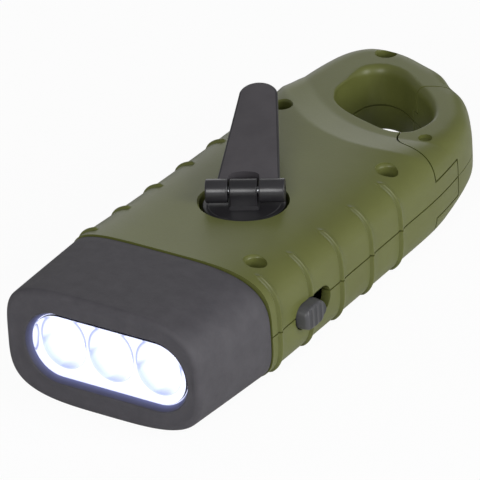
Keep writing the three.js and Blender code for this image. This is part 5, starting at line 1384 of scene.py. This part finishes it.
@dataclass
class Crank:
    """The disc and its knuckle, the folding arm, and the knob under the arm's tip."""

    plan_turn: float = 0.16
    raise_turn: float = 0.0722
    disc_top: float = 23.2
    soft: float = 0.35
    hinge_z: float = 26.05
    hinge_radius: float = 2.5
    hinge_half: float = 8.6
    hinge_left: float = 7.9
    hinge_gap: float = 0.3
    bore_radius: float = 1.0
    bore_soft: float = 0.1
    knuckle_half: float = 2.9
    knuckle_bore: float = 4.0
    web_half: float = 2.5
    web_soft: float = 0.4
    web_foot_soft: float = 0.6
    web_foot_shares: Pair = (1.12, 1.2)
    web_flare: float = 0.5
    web_parts: int = 3
    arm_length: float = 33.2
    arm_thickness: float = 2.2
    arm_under: float = -0.7
    arm_soft: float = 0.45
    arm_bore: float = 10.0
    arch_soft: float = 0.7
    arch_reach: float = 4.0
    side_parts: int = 24
    tip_parts: int = 40
    tip_radius: float = 4.1
    tip_x: float = 1.5
    root_x: float = 0.9
    root_half: float = 6.7
    stem_radius: float = 1.5
    stem_ends: Pair = (-4.3, 0.4)
    screw_radius: float = 0.85
    screw_start: float = -6.0
    band: Pair = (0.44, 0.01)
    knob_gap: float = 0.3
    knob_length: float = 4.4
    knob_soft: float = 0.3
    flutes: int = 18
    flute_depth: float = 0.09
    flute_from: float = 3.1
    flute_fade: float = 4.0
    pin_radius: float = 0.9
    pin_soft: float = 0.15
    pin_short: float = 0.3

    def at_crank(self) -> Matrix:
        """Place of the disc, with the hinge along X."""
        return Matrix.Translation((0, CRANK_Y, 0)) @ Matrix.Rotation(self.plan_turn * math.pi, 4, "Z")

    def at_hinge(self) -> Matrix:
        """Lift from the disc's place to the hinge's."""
        return Matrix.Translation((0, 0, self.hinge_z))

    def at_arm(self) -> Matrix:
        """Place of the arm, drawn flat from the hinge towards +Y."""
        raised = Matrix.Rotation(self.raise_turn * math.pi, 4, "X")
        return self.at_crank() @ self.at_hinge() @ raised

    def barrel(self, name: str, x0: float, x1: float, radius: float, soft: float) -> bpy.types.Object:
        """A round bar along X with softened ends."""
        corners = [(0, x0), (radius, x0), (radius, x1), (0, x1)]
        piece = turned(name, filleted(corners, soft, CORNER_PARTS), MIDDLE_FACETS)
        return moved(piece, Matrix.Rotation(math.pi / 2, 4, "Y"))

    def bore_tool(self, half: float) -> bpy.types.Object:
        """The pin's hole, this far to both sides."""
        return self.barrel("bore_tool", -half, half, self.bore_radius, self.bore_soft)

    def web(self) -> bpy.types.Object:
        """The web between the disc and its knuckle, wider at its foot."""
        half, deep = self.knuckle_half, self.web_half
        plan = [(-half, -deep), (half, -deep), (half, deep), (-half, deep)]
        along, across = self.web_foot_shares
        wide = [(x * along, y * across) for x, y in plan]
        neck = filleted(plan, self.web_soft, self.web_parts, closed=True)
        foot = filleted(wide, self.web_foot_soft, self.web_parts, closed=True)
        rings = [level_ring(foot, self.disc_top - self.web_flare), level_ring(foot, self.disc_top)]
        rings += [level_ring(neck, self.disc_top + self.web_flare), level_ring(neck, self.hinge_z)]
        return lofted("web", rings)

    def disc(self) -> bpy.types.Object:
        """Disc, shaft and middle knuckle in one."""
        half, up = self.knuckle_half, self.at_hinge()
        profile = filleted(DISC_PROFILE, self.soft, CORNER_PARTS)
        piece = turned("crank_disc_moulding", profile, LARGE_FACETS)
        cut(piece, self.web(), Cut.JOIN)
        cut(piece, moved(self.barrel("knuckle", -half, half, self.hinge_radius, self.soft), up), Cut.JOIN)
        cut(piece, moved(self.bore_tool(self.knuckle_bore), up))
        return moved(piece, self.at_crank())

    def arm_plan(self) -> np.ndarray:
        """The arm's tapered outline, clockwise from above."""
        tip, parts = self.arm_length - self.tip_radius, self.side_parts
        start, end = (np.array((self.root_x + side * self.root_half, 0.0)) for side in (-1, 1))
        left, right = (np.array((self.tip_x + side * self.tip_radius, tip)) for side in (-1, 1))
        turns = [math.pi * (1 - i / self.tip_parts) for i in range(self.tip_parts + 1)]
        circle = np.array([(math.cos(turn), math.sin(turn)) for turn in turns])
        out = [mix(start, left, i / parts) for i in range(parts)]
        back = [mix(right, end, i / parts) for i in range(1, parts + 1)]
        return np.array([*out, *(circle * self.tip_radius + (self.tip_x, tip)), *back])

    def arm(self) -> bpy.types.Object:
        """The arm: a plate with rounded edges, its two barrels, and the knob's stem."""
        line, under, soft = self.arm_plan(), self.arm_under, self.arm_soft
        top = under + self.arm_thickness
        rounding = quarter(CORNER_PARTS)
        rings = [level_ring(spread(line, soft * (s - 1)), under + soft * (1 - c)) for s, c in rounding]
        rings += [level_ring(spread(line, soft * (c - 1)), top - soft * (1 - s)) for s, c in rounding]
        piece = lofted("folding_arm", rings)
        inner = self.knuckle_half + self.hinge_gap
        for side, x0, x1 in (("left", -self.hinge_left, -inner), ("right", inner, self.hinge_half)):
            cut(piece, self.barrel(f"barrel_{side}", x0, x1, self.hinge_radius, self.soft), Cut.JOIN)
        right = [(share * inner, y) for share, y in ARCH_SHARES]
        left = [(-x, y) for x, y in right]
        arch = [*left, *ARCH_TOP[::-1], *right[::-1]]
        arch = filleted(arch, self.arch_soft, CORNER_PARTS, closed=True)
        cut(piece, prism("slot_tool", arch, -self.arch_reach, self.arch_reach))
        spot = (self.tip_x, self.arm_length - self.tip_radius)
        low, high = self.stem_ends
        cut(piece, peg("stem", *spot, low, high, self.stem_radius, STEM_FACETS), Cut.JOIN)
        cut(piece, peg("screw_tool", *spot, self.screw_start, high, self.screw_radius, FINE_FACETS))
        return moved(cut(piece, self.bore_tool(self.arm_bore)), self.at_arm())

    def polished(self, point: Vector) -> bool:
        """Whether a point of the arm lies on a barrel or on the band round its top edge."""
        flat = self.at_arm().inverted() @ point
        top = self.arm_under + self.arm_thickness
        deep, shallow = self.band
        return flat.yz.length < self.hinge_radius + shallow or top - deep < flat.z < top - shallow

    def knob(self) -> bpy.types.Object:
        """The finger knob, waisted and fluted, hanging from the arm's tip."""
        foot = self.arm_under - self.knob_gap - self.knob_length
        angles = np.arange(LARGE_FACETS) * TURN / LARGE_FACETS
        rings = []
        for radius, height in filleted(KNOB_PROFILE, self.knob_soft, CORNER_PARTS, closed=True):
            depth = self.flute_depth * float(clamp((radius - self.flute_from) * self.flute_fade))
            out = radius + depth * (np.cos(self.flutes * angles) - 1)
            level = np.full(LARGE_FACETS, foot + height)
            rings.append(np.stack([out * np.cos(angles), out * np.sin(angles), level], 1))
        piece = lofted("finger_knob", rings, looped=True)
        spot = Matrix.Translation((self.tip_x, self.arm_length - self.tip_radius, 0))
        return moved(piece, self.at_arm() @ spot)

    def pin(self) -> bpy.types.Object:
        """The steel pin through the knuckle and both barrels."""
        ends = (self.pin_short - self.hinge_left, self.hinge_half - self.pin_short)
        piece = self.barrel("hinge_pin_steel", *ends, self.pin_radius, self.pin_soft)
        return moved(piece, self.at_crank() @ self.at_hinge())

    def build(self, paint: Paint) -> None:
        """Model the crank's visible pieces."""
        paint.finish(smooth(self.pin()), Slot.STEEL, "crank", "hinge_pin")
        paint.finish(smooth(self.disc()), Slot.BLACK, "crank", "crank_disc")
        arm = smooth(self.arm())
        paint.finish(arm, Slot.ARM, "arm", "crank_arm")
        paint.part(arm, POLISHED, self.polished)
        paint.finish(smooth(self.knob()), Slot.BLACK, "knob", "crank_knob")


# The slide switch


@dataclass
class SlideSwitch:
    """The ridged knob that slides in the body's side."""

    front_y: float = 5.7
    rear_y: float = 13.7
    low_z: float = 8.5
    high_z: float = 13.9
    base_x: float = 20.3
    side_x: float = 24.8
    taper_x: float = 25.9
    outer_x: float = 26.7
    taper: float = 0.12
    edge: float = 0.75
    edge_parts: int = 5
    blunt: float = 1.0
    front_slants: Pair = (1.4, 1.6)
    rear_slant: float = 1.8
    rear_steps: Pair = (1.6, 2.0)
    corner: float = 1.3
    plate_margin: float = 1.1
    plate_thickness: float = 0.6
    grooves: int = 4
    groove_middle: float = 9.9
    groove_pitch: float = 1.75
    groove_radius: float = 0.55
    groove_out: float = 0.12
    groove_past: float = 2.0

    def outline(self, x: float, inset: float) -> Ring:
        """The knob's outline: blunt in front and drawn to a ridge at the rear.

        Args:
            x: Where across the body it lies.
            inset: How far inside the full outline it keeps.

        Returns:
            The ring.
        """
        front, rear = self.front_y + inset, self.rear_y - inset
        low, high = self.low_z + inset, self.high_z - inset
        ridge = rear - self.rear_slant
        corners = [
            (front, low + self.blunt), (front, high - self.blunt), (front + self.front_slants[1], high),
            (ridge, high), (rear, high - self.rear_steps[1]), (rear, low + self.rear_steps[0]),
            (ridge, low), (front + self.front_slants[0], low),
        ]
        line = np.array(filleted(corners, self.corner, CORNER_PARTS, closed=True))
        return np.stack([np.full(len(line), x), *line.T], 1)

    def build(self, paint: Paint) -> None:
        """Model the knob with its plate and ridges."""
        places = [(self.base_x, 0.0), (self.side_x, 0.0), (self.taper_x, self.taper)]
        for sine, cosine in quarter(self.edge_parts)[1:]:
            places.append((self.outer_x - self.edge * (1 - sine), self.taper + self.edge * (1 - cosine)))
        piece = lofted("switch_slider", [self.outline(x, inset) for x, inset in places])
        margin = self.plate_margin
        low = (self.base_x, self.front_y - margin, self.low_z - margin)
        high = (self.base_x + self.plate_thickness, self.rear_y + margin, self.high_z + margin)
        cut(piece, block("plate", low, high), Cut.JOIN)
        ends = (self.low_z - self.groove_past, self.high_z + self.groove_past)
        x = self.outer_x + self.groove_out
        for i in range(self.grooves):
            y = self.groove_middle + (i - (self.grooves - 1) / 2) * self.groove_pitch
            cut(piece, peg("groove_tool", x, y, *ends, self.groove_radius, FINE_FACETS))
        paint.finish(smooth(piece), Slot.SWITCH, "switch", "switch_knob")


# Floor, lights and camera


@dataclass(frozen=True)
class SoftBox:
    """A square white light, its place and side in millimetres and its power in watts."""

    name: str
    place: tuple[float, float, float]
    size: float
    power: float

    def hang(self, aim: Sequence[float]) -> None:
        """Hang the light so that it looks at a place."""
        data = bpy.data.lights.new(self.name, "AREA")
        data.size = self.size * MM
        data.energy = self.power
        lamp = bpy.data.objects.new(self.name, data)
        bpy.context.scene.collection.objects.link(lamp)
        lamp.location = Vector(self.place) * MM
        towards = (Vector(aim) - Vector(self.place)) * MM
        lamp.rotation_euler = towards.to_track_quat("-Z", "Y").to_euler()


@dataclass
class Studio:
    """A pale floor, soft light, and a camera at the photograph's angle."""

    azimuth: float = 35.124
    elevation: float = 29.029
    roll: float = 3.629
    distance: float = 1063.0
    scale: float = 4.907
    origin: Pair = (181.365, 303.055)
    aim_z: float = 11.8
    frame_size: int = 480
    sensor: float = 36.0
    clip_end: float = 10.0
    room_light: float = 0.24
    floor_size: float = 6000.0
    floor_drop: float = 0.2
    floor_glow: float = 0.95
    light_aim: tuple[float, float, float] = (0.0, 38.0, 12.0)
    lights: tuple[SoftBox, ...] = (
        SoftBox("softbox_back_left", (-430.0, 660.0, 170.0), 380.0, 0.5),
        SoftBox("softbox_front_right", (640.0, 110.0, 270.0), 420.0, 2.7),
        SoftBox("softbox_front", (240.0, -620.0, 380.0), 300.0, 2.4),
    )

    def camera(self) -> None:
        """Aim the camera so that the object lies where the photograph shows it."""
        a, e, r = (math.radians(v) for v in (self.azimuth, self.elevation, self.roll))
        right = Vector((math.cos(a), math.sin(a), 0))
        back = Vector((math.sin(a) * math.cos(e), -math.cos(a) * math.cos(e), math.sin(e)))
        up = back.cross(right)
        side = right * math.cos(r) - up * math.sin(r)
        rise = right * math.sin(r) + up * math.cos(r)
        focal = self.scale * self.distance
        middle = self.frame_size / 2
        ahead = -back + side * (middle - self.origin[0]) / focal - rise * (middle - self.origin[1]) / focal
        ahead.normalize()
        side = (side - ahead * side.dot(ahead)).normalized()
        rise = side.cross(ahead)
        data = bpy.data.cameras.new("camera")
        data.sensor_width = self.sensor
        data.lens = focal * self.sensor / self.frame_size
        data.clip_end = self.clip_end
        camera = bpy.data.objects.new("camera", data)
        bpy.context.scene.collection.objects.link(camera)
        turn = Matrix((side, rise, -ahead)).transposed().to_4x4()
        place = (Vector((0, 0, self.aim_z)) + back * self.distance) * MM
        camera.matrix_world = Matrix.Translation(place) @ turn
        bpy.context.scene.camera = camera

    def seen(self, tree: bpy.types.NodeTree) -> bpy.types.NodeSocket:
        """Whether a ray comes from the camera, straight or through something clear."""
        path = add_node(tree, "ShaderNodeLightPath").outputs
        return maths(tree, "MAXIMUM", {0: path["Is Camera Ray"], 1: path["Is Transmission Ray"]})

    def blend(self, tree: bpy.types.NodeTree, share: bpy.types.NodeSocket, *shaders: bpy.types.Node) -> dict:
        """Mix two shaders, as the link that an output node takes."""
        links = {0: share, 1: shaders[0].outputs[0], 2: shaders[1].outputs[0]}
        return {"Surface": add_node(tree, "ShaderNodeMixShader", links=links).outputs[0]}

    def world(self) -> None:
        """White where the camera sees it, and pale grey as a light."""
        world = bpy.data.worlds.new("pale_room")
        bpy.context.scene.world = world
        world.use_nodes = True
        tree = world.node_tree
        tree.nodes.clear()
        dim, white = (
            add_node(tree, "ShaderNodeBackground", {"Color": linear("#ffffff"), "Strength": strength})
            for strength in (self.room_light, 1.0)
        )
        add_node(tree, "ShaderNodeOutputWorld", links=self.blend(tree, self.seen(tree), dim, white))

    def floor(self) -> None:
        """A wide pale floor that keeps a faint shadow."""
        focus()
        bpy.ops.mesh.primitive_plane_add(size=self.floor_size * MM, location=(0, 0, -self.floor_drop * MM))
        floor = bpy.context.object
        floor.name = "floor"
        material = bpy.data.materials.new("matte_paper_white")
        material.use_nodes = True
        tree = material.node_tree
        tree.nodes.clear()
        paper = add_node(tree, "ShaderNodeBsdfDiffuse", {"Color": linear("#f2f2f2")})
        lit = add_node(tree, "ShaderNodeEmission", {"Color": linear("#ffffff"), "Strength": 1.0})
        share = maths(tree, "MULTIPLY", {0: self.seen(tree)}, {1: self.floor_glow})
        add_node(tree, "ShaderNodeOutputMaterial", links=self.blend(tree, share, paper, lit))
        floor.data.materials.append(material)

    def build(self) -> None:
        """Set up everything round the object."""
        bpy.context.scene.view_settings.view_transform = "Standard"
        self.world()
        self.floor()
        for light in self.lights:
            light.hang(self.light_aim)
        self.camera()


def main() -> None:
    """Build the object piece by piece, then its studio."""
    logging.basicConfig(level=logging.INFO, format="%(name)s: %(message)s")
    paint = Paint()
    paint.dress_nodes()
    Housing().build(paint)
    LampHead().build(paint)
    Crank().build(paint)
    SlideSwitch().build(paint)
    Studio().build()


if __name__ == "__main__":
    main()
